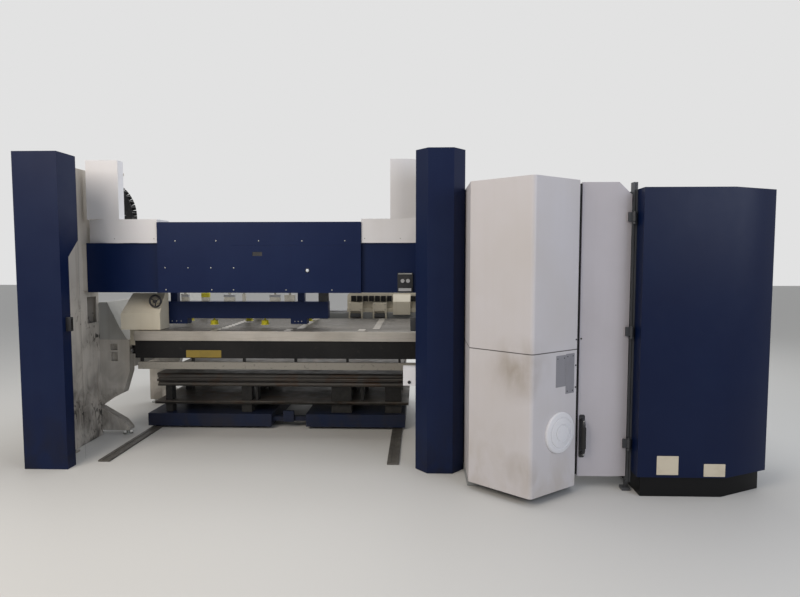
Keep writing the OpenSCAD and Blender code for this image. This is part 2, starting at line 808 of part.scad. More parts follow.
// A bellows suction cup with its stem
module suction_cup(x, y, stem_h) {
    n = 3;
    fold = (cup_h - 8) / n;
    translate([x, y, cup_lip_z]) {
        rotate_extrude($fn = 48) polygon(concat(
            [[0, 8], [cup_r - 8, 0], [cup_r, 0], [cup_r - 2, 3]],
            [for (i = [0:n - 1]) for (p = [[cup_r - 12, 3 + fold * i + fold * 0.45],
                [cup_r - 4, 3 + fold * (i + 1)]]) p],
            [[cup_stem_r + 6, cup_h], [0, cup_h]]
        ));
        translate([0, 0, cup_h]) cylinder(r = cup_stem_r, h = stem_h, $fn = 32);
    }
}

module suction_cups() color(yellow) {
    for (x = bar_cup_x) suction_cup(x, suction_y, 70);
    for (x = arm_x) for (y = arm_cup_y) suction_cup(x, y, arm_z + arm_side + 12 - cup_top);
}

module button_panel() color(black) difference() {
    union() {
        block(panel_x0, panel_x0 + 124, cover_y - 20, cover_y, cover_bottom + 10, cover_bottom + 165);
        block(panel_x0 + 2, panel_x0 + 120, cover_y - 34, cover_y - 20,
              cover_bottom + 12, cover_bottom + 44);
    }
    for (dx = [42, 86]) translate([panel_x0 + dx, cover_y - 5, button_z])
        rotate([90, 0, 0]) cylinder(r = button_r + pin_gap, h = 40, $fn = 32);
}

// A push button with its stem in the panel
module push_button(dx) {
    translate([panel_x0 + dx, cover_y - 12, button_z]) rotate([90, 0, 0]) {
        cylinder(r = button_r, h = 14, $fn = 32);
        translate([0, 0, 14]) cylinder(r = 2 * button_r, h = 10, $fn = 48);
    }
}

module upper_button() color(grey) push_button(42);

module lower_button() color(grey) push_button(86);

module key_box() color(white) {
    difference() {
        block(key_box_x1 - 92, key_box_x1, key_y, key_y + 80, 625, 760);
        translate([key_box_x1 - 46, key_y + 14, 650]) rotate([90, 0, 0])
            cylinder(r = 12 + pin_gap, h = 20, $fn = 48);
    }
}

module key_lock() color(black) {
    translate([key_box_x1 - 46, key_y + 13, 650]) rotate([90, 0, 0]) difference() {
        cylinder(r = 12, h = 19, $fn = 48);
        translate([-1.5, -8, 15]) cube([3, 16, 6]);
    }
}

// Contour of a rail frame's leg, seen from the front, for the frame whose inner face is at xi
function leg_outline(xi, s) = [
    [xi, table_z - 100], [xi - s * 7, 569], [xi - s * 67, 379], [xi - s * 197, 315],
    [xi - s * 290, 250], [xi - s * 75, 124], [xi - s * 23, 60], [xi - s * 23, 40],
    [xi - s * rail_frame_w, 40], [xi - s * rail_frame_w, table_z - 100]
];

// A rail frame: three legs and a box beam along Y; s is 1 on the left and -1 on the right
module rail_frame(s) {
    xi = -s * rail_x;
    xo = xi - s * rail_frame_w;
    leg_t = 90;
    difference() {
        for (y = [rail_frame_y0, (rail_frame_y0 + y_rear - leg_t) / 2, y_rear - leg_t])
            along_y(y, y + leg_t) polygon(leg_outline(xi, s));
        for (z = [[659, 739], [757, 812]]) block(min(xi - s * 172, xi - s * 110),
            max(xi - s * 172, xi - s * 110), rail_frame_y0 - cut, rail_frame_y0 + 40, z[0], z[1]);
    }
    difference() {
        block(min(xi, xo), max(xi, xo), rail_frame_y0 + leg_t - cut, y_rear, 600, table_z - 100);
        block(min(xi, xo) + 12, max(xi, xo) - 12, rail_frame_y0 + leg_t - 2 * cut, y_rear + cut,
              612, table_z - 112);
    }
}

module left_rail_frame() color(white) rail_frame(1);

module right_rail_frame() color(white) rail_frame(-1);

module linear_rails() color(steel) {
    for (x = [-rail_x, rail_x - rail_w])
        block(x, x + rail_w, rail_y0, y_rear - 10, rail_z, rail_z + rail_h);
}

module levelling_feet() color(black) {
    for (s = [-1, 1]) for (y = [rail_frame_y0 + 45, (rail_frame_y0 + y_rear) / 2, y_rear - 45])
        for (dx = [60, 330]) translate([s * (rail_x + dx), y, 0]) {
            cylinder(r = 42, h = 14, $fn = 48);
            translate([0, 0, 14]) cylinder(r = 14, h = 26, $fn = 32);
        }
}

module left_end_cover() color(cream) {
    x0 = -rail_x;
    x1 = x0 + end_cover_w;
    y0 = cover_y + 90;
    y1 = suction_y - suction_d / 2 - 10;
    z0 = table_z + 6;
    z1 = 1262;
    difference() {
        union() {
            difference() {
                along_x(x0, x1) polygon([[y0, z0], [y0, 1100], [y0 + 60, 1190], [y0 + 110, z1],
                    [y1, z1], [y1, z0]]);
                along_x(x0 - cut, x1 - sheet) polygon([[y0 + sheet, z0 - cut], [y0 + sheet, 1099],
                    [y0 + 60 + sheet, 1189], [y0 + 111, z1 - sheet], [y1 - sheet, z1 - sheet],
                    [y1 - sheet, z0 - cut]]);
                // Chamfered left face
                along_y(y0 - cut, y1 + cut)
                    polygon([[x0 - cut, z0 + 120], [x0 + 60, z1 + cut], [x0 - cut, z1 + cut]]);
            }
            translate([wheel_x, y0 + 100, hand_z]) rotate([90, 0, 0])
                cylinder(r = 18, h = y0 + 100 - hand_y - hub_back - running_gap, $fn = 48);
        }
        translate([wheel_x, y0 + 80, hand_z]) rotate([90, 0, 0])
            cylinder(r = 8 + pin_gap, h = 90, $fn = 32);
    }
    block(x0, x0 + 130, y1 - 20, y1, table_z - 150, z0);
    block(x0, x0 + 40, y1 - 20, y1, z0, z0 + 60);
}

module rail_cover() color(grey) {
    x0 = -rail_x - rail_frame_w + 10;
    x1 = -rail_x - 20;
    z0 = table_z - 100;
    along_y(rail_frame_y0, y_rear - 200) polygon([[x0, z0], [x0, z0 + 170], [x0 + 100, z0 + 330],
        [x0 + 170, z0 + 330], [x1 - 60, z0 + 100], [x1, z0]]);
}

module hand_wheel() color(black) {
    rim_r = 48;
    translate([wheel_x, hand_y, hand_z]) {
        rotate([90, 0, 0]) rotate_extrude($fn = 64) translate([rim_r, 0]) circle(r = 8, $fn = 24);
        for (a = [90, 210, 330]) rotate([0, a, 0]) rotate([0, 90, 0]) translate([0, 0, 10])
            cylinder(r = spoke_r, h = rim_r - 12, $fn = 24);
        translate([0, hub_back, 0]) rotate([90, 0, 0]) cylinder(r = 15, h = hub_back + 18, $fn = 48);
        translate([0, 60, 0]) rotate([90, 0, 0]) cylinder(r = 8, h = 60, $fn = 32);
    }
}

// Slopes of the prow's faces, the middle of its rounded ridge and the start of its right face
prow_a_left = atan2(prow_left_y - prow_y, prow_x - housing_x0);
prow_a_right = atan2(prow_right_y - prow_y, housing_x1 - prow_x);
prow_c = [prow_x, prow_y + prow_r];
face_a = prow_c + prow_r * [cos(270 + prow_a_right), sin(270 + prow_a_right)];
face_b = [housing_x1, prow_right_y];

// Plan of the head housing, drawn e inside its outer faces
function prow_plan(e) = concat(
    [[housing_x0 + e, housing_back + (e > 0 ? cut : 0)],
     [housing_x0 + e, prow_left_y + e * tan(45 - prow_a_left / 2)]],
    arc(prow_c, prow_r - e, 270 - prow_a_left, 270 + prow_a_right, 8),
    [[housing_x1 - e, prow_right_y + e * tan(45 - prow_a_right / 2)],
     [housing_x1 - e, housing_back + (e > 0 ? cut : 0)]]
);

module prow_upper_cover() color(white) {
    difference() {
        translate([0, 0, housing_seam]) linear_extrude(housing_h - housing_seam) polygon(prow_plan(0));
        translate([0, 0, housing_seam - cut]) linear_extrude(housing_h - housing_seam - sheet + cut)
            polygon(prow_plan(sheet));
    }
}

module prow_lower_cover() color(white) {
    difference() {
        translate([0, 0, housing_z]) linear_extrude(housing_seam - housing_z) polygon(prow_plan(0));
        translate([0, 0, housing_z - cut]) linear_extrude(housing_seam - housing_z + 2 * cut)
            polygon(prow_plan(sheet));
        // Shadow line under the seam
        difference() {
            translate([0, 0, housing_seam - 6]) linear_extrude(4) polygon(prow_plan(-cut));
            translate([0, 0, housing_seam - 6 - cut]) linear_extrude(4 + 2 * cut) polygon(prow_plan(1.5));
        }
    }
}

// Hood over the upper arm and the head, open below
module arm_cover() color(white) {
    y1 = block_y1 + 20;
    z0 = arm_up_bottom + 20;
    difference() {
        block(housing_x0, housing_x1, housing_back, y1, z0, housing_h);
        block(housing_x0 + sheet, housing_x1 - sheet, housing_back - cut, y1 - sheet,
              z0 - cut, housing_h - sheet);
    }
}

// Round domed cover on the right face of the prow
module disc_cover() color(white) {
    share = 0.6;
    place = face_a + share * (face_b - face_a);
    turn = atan2(face_b[1] - face_a[1], face_b[0] - face_a[0]);
    translate([place[0], place[1], 436]) rotate([0, 0, turn]) rotate([90, 0, 0]) difference() {
        rotate_extrude($fn = 96) polygon([[0, 0], [disc_r, 0], [disc_r, 8], [disc_r - 6, 14],
            [disc_r - 30, 18], [disc_r - 32, 15], [disc_r - 38, 15], [disc_r - 40, 19],
            [60, 24], [58, 21], [52, 21], [50, 25], [0, 27]]);
        translate([disc_r - 62, -14, 12]) cube([24, 28, 20]);
    }
}

// A lug with an upright hinge pin under each knuckle of the door
module hinge_post() color(grey) {
    y0 = door_y + 6;
    block(door_x1 + 6, door_x1 + 18, y0, y0 + 40, 60, door_z + door_h);
    block(door_x1 + 22, door_x1 + 34, y0, y0 + 40, 60, door_z + door_h);
    block(door_x1 + 6, door_x1 + 34, y0 + 40, y0 + 50, 0, door_z + door_h);
    block(door_x1 - 20, door_x1 + 34, y0, y0 + 60, 0, 20);
    for (z = [160, door_z + door_h - 120])
        block(housing_x1, cabinet_x0, y0 + 40, y0 + 50, z, z + 60);
    for (z = knuckle_z) {
        block(hinge_x - 4, hinge_x + 8, hinge_y, y0, z - 16, z - 6);
        translate([hinge_x, hinge_y, z - 16]) cylinder(r = knuckle_r, h = 10, $fn = 48);
        translate([hinge_x, hinge_y, z - 6]) cylinder(r = hinge_r, h = knuckle_h + 12, $fn = 48);
    }
}

// Plan of the service door's sheet, drawn e inside the front face
function door_plan(e) = [
    [door_x0 + e, door_y + e], [door_x0 + 235, door_y + e], [door_x1 - e, door_y + 10 + e],
    [door_x1 - e, door_y + 10 + door_return + (e > 0 ? cut : 0)],
    [door_x0 + e, door_y + 10 + door_return + (e > 0 ? cut : 0)]
];

module service_door() color(grey) {
    chamfer = [[door_x0 + 235, door_z + door_h + cut], [door_x1 + 30, door_z + door_h + cut],
               [door_x1 + 30, door_z + door_h - 100], [door_x1, door_z + door_h - 81]];
    difference() {
        union() {
            difference() {
                translate([0, 0, door_z]) linear_extrude(door_h) polygon(door_plan(0));
                translate([0, 0, door_z + sheet]) linear_extrude(door_h - 2 * sheet)
                    polygon(door_plan(sheet));
            }
            for (z = knuckle_z) {
                block(door_x1 - 30, hinge_x, hinge_y - 4, hinge_y + 4, z, z + knuckle_h);
                block(door_x1 - 30, door_x1 - 16, hinge_y - 4, door_y + 14, z, z + knuckle_h);
                translate([hinge_x, hinge_y, z]) cylinder(r = knuckle_r, h = knuckle_h, $fn = 48);
            }
        }
        along_y(door_y - 40, door_y + 60) polygon(chamfer);
        for (z = knuckle_z) translate([hinge_x, hinge_y, z - cut])
            cylinder(r = hinge_r + pin_gap, h = knuckle_h + 2 * cut, $fn = 48);
    }
}

// Bow handle bent from round bar
module door_handle() color(black) {
    r = 11;
    reach = 48;
    z0 = 262;
    z1 = 486;
    bend = 30;
    x = door_x0 + 26;
    translate([x, door_y, 0]) {
        for (z = [z0, z1]) {
            translate([0, 0, z]) rotate([90, 0, 0]) cylinder(r = r, h = reach - bend, $fn = 32);
            translate([0, 0, z]) rotate([90, 0, 0]) cylinder(r = r + 7, h = 4, $fn = 48);
        }
        translate([0, -reach, z0 + bend]) cylinder(r = r, h = z1 - z0 - 2 * bend, $fn = 32);
        for (e = [[z0 + bend, 180], [z1 - bend, 90]])
            translate([0, -reach + bend, e[0]]) rotate([90, 0, 90]) rotate([0, 0, e[1]])
                rotate_extrude(angle = 90, $fn = 48) translate([bend, 0]) circle(r = r, $fn = 32);
    }
}

// Plan of the control cabinet, drawn e inside its outer faces
function cabinet_plan(e) = [
    [cabinet_x0 + e, cabinet_y0 + e], [x_right - cabinet_bevel - e / 3, cabinet_y0 + e],
    [x_right - e, cabinet_y0 + cabinet_bevel_d + e], [x_right - e, cabinet_y0 + cabinet_d - e],
    [cabinet_x0 + e, cabinet_y0 + cabinet_d - e]
];

module control_cabinet() color(blue) {
    difference() {
        translate([0, 0, plinth_h]) linear_extrude(cabinet_top - plinth_h) polygon(cabinet_plan(0));
        translate([0, 0, plinth_h + sheet]) linear_extrude(cabinet_top - plinth_h - 2 * sheet)
            polygon(cabinet_plan(sheet));
    }
    difference() {
        linear_extrude(plinth_h) polygon(cabinet_plan(30));
        translate([0, 0, -cut]) linear_extrude(plinth_h + 2 * cut) polygon(cabinet_plan(40));
    }
}

// Places of the rows of brushes over one plate
function brush_rows(y0, y1) = [for (y = [y0 + 60 : brush_pitch : y1 - 60]) y];

// One row of equal brush strips between two ends
module brush_row(x0, x1, y, z, h, grow) {
    gap = 60;
    n = max(1, round((x1 - x0 - 60) / 680));
    l = (x1 - x0 - gap) / n - gap;
    for (i = [0:n - 1]) let (x = x0 + gap + i * (l + gap))
        block(x - grow, x + l + grow, y - grow, y + brush_w + grow, z, z + h);
}

// The strips of the left table; its first rows end at the notch
module left_strips(z, h, grow) {
    for (y = brush_rows(table_y0, table_y1))
        brush_row(-table_reach, y < notch_y + 10 ? notch_x : left_bed_x1, y, z, h, grow);
}

module right_strips(z, h, grow) {
    for (y = brush_rows(table_y0, table_y1)) brush_row(right_bed_x0, table_reach, y, z, h, grow);
}

// A table plate with a bright folded front edge
module table_top(x0, x1, edge_x1) {
    block(x0, x1, table_y0, table_y1, table_z - table_plate, table_z);
    block(x0, edge_x1, table_y0, table_y0 + 12, table_z - table_edge_h, table_z - table_plate);
}

// Room for the right upright at the left table's front corner
module table_notch() {
    block(notch_x, left_bed_x1 + cut, table_y0 - cut, notch_y, beam_under - 100, table_z + cut);
}

module left_table_top() color(steel) {
    slot_x = portal_x + 800;
    difference() {
        table_top(-table_reach, left_bed_x1, notch_x);
        table_notch();
        left_strips(table_z - brush_depth, brush_depth + cut, 0.2);
        block(slot_x, slot_x + 85, table_y0 + 13, table_y0 + 48, table_z - table_plate - cut,
              table_z + cut);
    }
}

module right_table_top() color(steel) difference() {
    table_top(right_bed_x0, table_reach, table_reach);
    right_strips(table_z - brush_depth, brush_depth + cut, 0.2);
}

module table_brushes() color(black) {
    left_strips(table_z - brush_depth, brush_depth + brush_rise, 0);
    right_strips(table_z - brush_depth, brush_depth + brush_rise, 0);
}

// Under-frame of a table: x_out is its outer end, x_in its inner end, s the outer end's side
module table_frame(x_out, x_in, s) {
    top = table_z - table_plate;
    low = beam_under;
    ya = table_y0 + 14;
    front_w = 50;
    a = min(x_out, x_in);
    b = max(x_out, x_in);
    n = ceil((b - a) / 500);
    difference() {
        union() {
            block(a, b, ya, ya + front_w, low, top);
            block(a, b, table_y1 - 50, table_y1, low, top);
            for (i = [0:n]) let (x = a + (b - a - 40) * i / n)
                block(x, x + 40, ya + front_w, table_y1 - 50, low + 30, top);
            block(a, b, (ya + table_y1) / 2 - 20, (ya + table_y1) / 2 + 20, low + 30, top);
            // Arms that carry the guide beam
            for (x = [x_out - s * 60, x_in + s * 20]) block(min(x, x + s * 60), max(x, x + s * 60),
                table_y1, guide_y1, low, guide_low);
            // Runner blocks on the rail
            for (y = [rail_y0 + 20, guide_y1 - 150])
                block(min(x_out, s * (rail_x - 3)), max(x_out, s * (rail_x - 3)), y, y + 120, low, 830);
        }
        block(min(s * rail_x, s * (rail_x - rail_w - running_gap)) - (s > 0 ? 0 : cut),
              max(s * rail_x, s * (rail_x - rail_w - running_gap)) + (s > 0 ? cut : 0),
              rail_y0, guide_y1, rail_z - running_gap, rail_z + rail_h + running_gap);
    }
    // Grey tube under the front beam with its hangers
    block(a + 20, b - 20, ya, ya + 40, low - 95, low - 35);
    for (i = [0:n]) let (x = a + 40 + (b - a - 100) * i / n)
        block(x, x + 20, ya + 5, ya + 35, low - 35, low);
}

module left_table_frame() color(black) {
    difference() {
        table_frame(-table_reach, left_bed_x1, -1);
        table_notch();
    }
    block(notch_x - 60, left_bed_x1, notch_y, notch_y + 40, beam_under + 30, table_z - table_plate);
}

module right_table_frame() color(black) table_frame(table_reach, right_bed_x0, 1);

module coordinate_beam() color(grey) {
    difference() {
        block(-table_reach, table_reach, guide_y0, guide_y1, guide_low, guide_top);
        block(-table_reach - cut, table_reach + cut, guide_y0 + 12, guide_y1 - 12,
              guide_low + 12, guide_top - 12);
    }
}

module guide_rails() color(steel) {
    for (y = x_rail_y)
        block(-table_reach + 10, table_reach - 10, y, y + x_rail_w, guide_top, guide_top + x_rail_h);
}

module carriage() color(cream) {
    y0 = guide_y0 + 5;
    y1 = guide_y1 - 5;
    difference() {
        block(carriage_x0, carriage_x1, y0, y1, base_z0, base_z1);
        for (y = x_rail_y) block(carriage_x0 - cut, carriage_x1 + cut, y - running_gap,
            y + x_rail_w + running_gap, base_z0 - cut, guide_top + x_rail_h + running_gap);
    }
    along_y(y0 + 25, y1) polygon(concat(
        [[carriage_x0, base_z1]],
        arc([carriage_x0 + hood_r, hood_top - hood_r], hood_r, 180, 90, 8),
        arc([carriage_x1 - hood_r, hood_top - hood_r], hood_r, 90, 0, 8),
        [[carriage_x1, base_z1]]
    ));
    // End hood right of the second clamp, with a sloping top
    along_x(end_hood_x0, end_hood_x1) polygon([[guide_y0 - 30, 985], [guide_y0 - 30, 1120],
        [y0 + 25, 1195], [y0 + 25, base_z1], [y0, base_z1], [y0, base_z0 + 15],
        [guide_y0 - 3, base_z0 + 15], [guide_y0 - 3, 985]]);
}

module tool_cassettes() color(black) {
    y1 = guide_y0 + 30;
    for (i = [0:cassette_count - 1]) let (x = carriage_x0 + 45 + i * cassette_pitch)
        if (x + cassette_pitch < end_hood_x0 || x > end_hood_x1) difference() {
        block(x, x + cassette_pitch - 14, y1 - 54, y1, 1122, 1178);
        translate([x + (cassette_pitch - 14) / 2, y1 - 54, 1122 - cut])
            cylinder(r = 16, h = 58 + cut, $fn = 48);
    }
}

// A clamp body at the middle xc: housing, back plate, lower jaw and two cheeks
module clamp_body(xc) {
    h = clamp_w / 2;
    j = jaw_w / 2;
    y0 = guide_y0 - 42;
    difference() {
        union() {
            block(xc - h, xc + h, y0, guide_y0 + 5, base_z0 + 15, base_z1 + 60);
            block(xc - h, xc + h, guide_y0 - 16, guide_y0 - 3, table_z - 25, base_z0 + 15);
            block(xc - h, xc + h, clamp_front, guide_y0 - 3, table_z - 25, table_z - 4);
            for (s = [-1, 1]) block(min(xc + s * j, xc + s * h), max(xc + s * j, xc + s * h),
                y0, guide_y0 - 16, table_z - 4, base_z0 + 15);
        }
        translate([xc - h - cut, jaw_y, jaw_z]) rotate([0, 90, 0])
            cylinder(r = jaw_pin_r + pin_gap, h = clamp_w + 2 * cut, $fn = 32);
    }
}

module clamp_bodies() color(cream) {
    for (x = clamp_x) clamp_body(x);
}

// An upper jaw with its pin
module clamp_jaw(xc) {
    j = jaw_w / 2 - running_gap;
    translate([xc - clamp_w / 2, jaw_y, jaw_z]) rotate([0, 90, 0])
        cylinder(r = jaw_pin_r, h = clamp_w, $fn = 32);
    along_x(xc - j, xc + j) polygon([[clamp_front, table_z + 6], [clamp_front, table_z + 16],
        [jaw_y - 12, table_z + 50], [jaw_y + 8, table_z + 50], [jaw_y + 8, table_z + 14],
        [jaw_y - 2, table_z + 6]]);
}

module left_clamp_jaw() color(black) clamp_jaw(clamp_x[0]);

module right_clamp_jaw() color(black) clamp_jaw(clamp_x[1]);

module floor_rails() color(grey) {
    for (x = track_x) difference() {
        block(x - track_w / 2, x + track_w / 2, y_front + 730, cart_y1 - 20, 0, floor_rail_h);
        block(x - 16, x + 16, y_front + 730 - cut, cart_y1 - 20 + cut,
              floor_rail_h - 4, floor_rail_h + cut);
    }
}

// A folded platform of the cart with its hanging edges
module cart_deck(x0, x1) {
    difference() {
        block(x0, x1, cart_y0, cart_y1, 24, cart_top);
        block(x0 + 6, x1 - 6, cart_y0 + 6, cart_y1 - 6, 23, cart_top - 6);
    }
}

module cart_frame() color(blue) {
    gap_x0 = cart_x0 + 1147;
    gap_x1 = cart_x1 - 911;
    cart_deck(cart_x0, gap_x0);
    cart_deck(gap_x1, cart_x1);
    for (y = [cart_y0 + 60, cart_y1 - 120]) block(gap_x0, gap_x1, y, y + 60, 60, 100);
    block(gap_x0 + 100, gap_x0 + 200, cart_y0 + 30, cart_y0 + 60, 60, 160);
    // Wheel brackets with the axle bores
    for (x = track_x) for (y = axle_y) for (s = [-1, 1]) difference() {
        block(min(x + s * 22, x + s * 30), max(x + s * 22, x + s * 30), y - 25, y + 25, 30, cart_top - 6);
        translate([x + s * 26 - 10, y, axle_z]) rotate([0, 90, 0])
            cylinder(r = axle_r + pin_gap, h = 20, $fn = 32);
    }
}

// Two wheels with their axle stubs on one axle line
module wheel_pair(y) {
    for (x = track_x) translate([x, y, axle_z]) rotate([0, 90, 0]) {
        translate([0, 0, -30]) cylinder(r = axle_r, h = 60, $fn = 32);
        translate([0, 0, -14]) cylinder(r = wheel_r, h = 28, $fn = 64);
        translate([0, 0, -21]) cylinder(r = 18, h = 42, $fn = 48);
    }
}

module front_wheels() color(steel) wheel_pair(axle_y[0]);

module rear_wheels() color(steel) wheel_pair(axle_y[1]);

module spacer_blocks() color(black) {
    spots = [[144, 60], [857, 94], [989, 20], [1692, 186], [1962, 28], [2188, 150]];
    rows = [cart_y0 + 60, cart_y0 + 520, cart_y1 - 200];
    for (y = rows) for (p = spots)
        block(cart_x0 + p[0], cart_x0 + p[0] + p[1], y, y + 90, lower_pack_z + 25, upper_pack_z);
    for (y = rows) for (p = [spots[0], spots[1], spots[3], spots[5]])
        block(cart_x0 + p[0], cart_x0 + p[0] + p[1], y, y + 90, cart_top, lower_pack_z);
}

module sheet_stack() color(steel) {
    block(cart_x0 + 60, cart_x1 + 30, cart_y0 + 20, cart_y1 - 20, lower_pack_z, lower_pack_z + 25);
    n = 6;
    t = 20;
    for (i = [0:n - 1]) let (d = 14 * sin(i * 137))
        block(cart_x0 + 77 + d, cart_x1 - 22 + d, cart_y0 + 50 - d, cart_y1 - 40 - d,
              upper_pack_z + i * t, upper_pack_z + (i + 1) * t);
}

c_frame();
head_block();
die_block();
die_table();
tool_motors();
portal_frame();
left_tower_cover();
right_tower_cover();
beam_centre_cover();
beam_side_covers();
corner_covers();
upper_covers();
energy_chain();
lift_guides();
button_panel();
upper_button();
lower_button();
key_box();
key_lock();
left_rail_frame();
right_rail_frame();
linear_rails();
levelling_feet();
left_end_cover();
rail_cover();
hand_wheel();
prow_upper_cover();
prow_lower_cover();
arm_cover();
disc_cover();
hinge_post();
service_door();
door_handle();
control_cabinet();
suction_frame();
suction_fittings();
suction_cups();
left_table_top();
right_table_top();
left_table_frame();
right_table_frame();
table_brushes();
coordinate_beam();
guide_rails();
carriage();
tool_cassettes();
clamp_bodies();
left_clamp_jaw();
right_clamp_jaw();
punch_sleeve();
ram();
die_holder();
upper_pinion();
lower_pinion();
floor_rails();
cart_frame();
front_wheels();
rear_wheels();
spacer_blocks();
sheet_stack();
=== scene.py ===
"""Looks of a punch press with a loading portal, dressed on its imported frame.

Metres throughout. X runs along the front, Y back from the operator, Z is up.
"""

import logging
import math
from collections.abc import Callable, Iterable, Sequence
from dataclasses import dataclass
from enum import Enum
from typing import Protocol

import bmesh
import bpy
from mathutils import Matrix, Vector


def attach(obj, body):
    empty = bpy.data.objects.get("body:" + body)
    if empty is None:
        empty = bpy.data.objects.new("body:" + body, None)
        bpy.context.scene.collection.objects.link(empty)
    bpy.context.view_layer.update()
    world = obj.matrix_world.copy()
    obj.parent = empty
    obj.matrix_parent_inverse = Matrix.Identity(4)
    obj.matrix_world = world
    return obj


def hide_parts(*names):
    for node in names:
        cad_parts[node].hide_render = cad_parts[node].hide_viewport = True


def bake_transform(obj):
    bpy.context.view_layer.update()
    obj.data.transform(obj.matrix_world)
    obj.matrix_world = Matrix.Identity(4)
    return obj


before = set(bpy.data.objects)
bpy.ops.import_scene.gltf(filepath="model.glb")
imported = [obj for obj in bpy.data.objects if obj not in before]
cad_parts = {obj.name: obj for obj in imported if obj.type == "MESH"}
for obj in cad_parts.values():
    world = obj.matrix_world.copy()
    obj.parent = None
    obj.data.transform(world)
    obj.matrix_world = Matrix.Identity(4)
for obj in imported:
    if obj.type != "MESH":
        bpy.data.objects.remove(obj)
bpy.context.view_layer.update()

log = logging.getLogger("punch_press")

Socket = bpy.types.NodeSocket
Tree = bpy.types.NodeTree
Colour = tuple[float, float, float, float]
Point = tuple[float, float, float]

MM = 0.001
WELD_DISTANCE = 0.02 * MM
SHARP_ANGLE = math.radians(32)
EDGE_SEGMENTS = 2
NORMAL_WEIGHT = 90
ROUND_SIDES = 24

# Dark marks that painted covers share, and the painted shade of a seam's groove
RUB_MARK = "#24221f"
GREASE_SMEAR = "#7b6a4c"
SEAM_SHADE = "#2a2622"
DARK_LEAF = "#34363a"
PLINTH_BLACK = "#0d0d0e"


def linear(code: str) -> Colour:
    """Turn an sRGB hex colour such as "#1e2c52" into linear RGBA.

    Args:
        code: the colour as written in sRGB hex.

    Returns:
        The linear red, green, blue and an alpha of 1.
    """
    parts = [int(code[i : i + 2], 16) / 255 for i in (1, 3, 5)]
    # The numbers are those of the sRGB curve
    low = [c / 12.92 if c <= 0.04045 else ((c + 0.055) / 1.055) ** 2.4 for c in parts]
    return (low[0], low[1], low[2], 1.0)


def add_node(
    tree: Tree, kind: str, links: dict[str | int, object] | None = None, **settings: object
) -> bpy.types.Node:
    """Add a node with its settings and its inputs' values or links.

    Args:
        tree: the node tree to add to.
        kind: the node's type name without the leading "ShaderNode".
        links: input name or number, to an output socket or a plain value.
        settings: the node's own properties.

    Returns:
        The new node.
    """
    made = tree.nodes.new("ShaderNode" + kind)
    for name, value in settings.items():
        setattr(made, name, value)
    for name, value in (links or {}).items():
        if isinstance(value, Socket):
            tree.links.new(value, made.inputs[name])
        else:
            made.inputs[name].default_value = value
    return made


def placed(name: str, data: bpy.types.ID) -> bpy.types.Object:
    """Put a mesh, a lamp or a camera into the scene.

    Args:
        name: the new object's name.
        data: what the object holds.

    Returns:
        The new object.
    """
    obj = bpy.data.objects.new(name, data)
    bpy.context.scene.collection.objects.link(obj)
    return obj


def join_points(obj: bpy.types.Object) -> None:
    """Join the points that neighbouring CAD faces share, so that they shade as one skin."""
    weld = obj.modifiers.new("join", "WELD")
    weld.merge_threshold = WELD_DISTANCE


class Grain(Enum):
    """Direction in which a worked surface's marks run, as the share of frequency kept along X, Y and Z."""

    ALONG_X = (0.02, 1.0, 1.0)
    ALONG_Y = (1.0, 0.02, 1.0)
    NONE = (1.0, 1.0, 1.0)


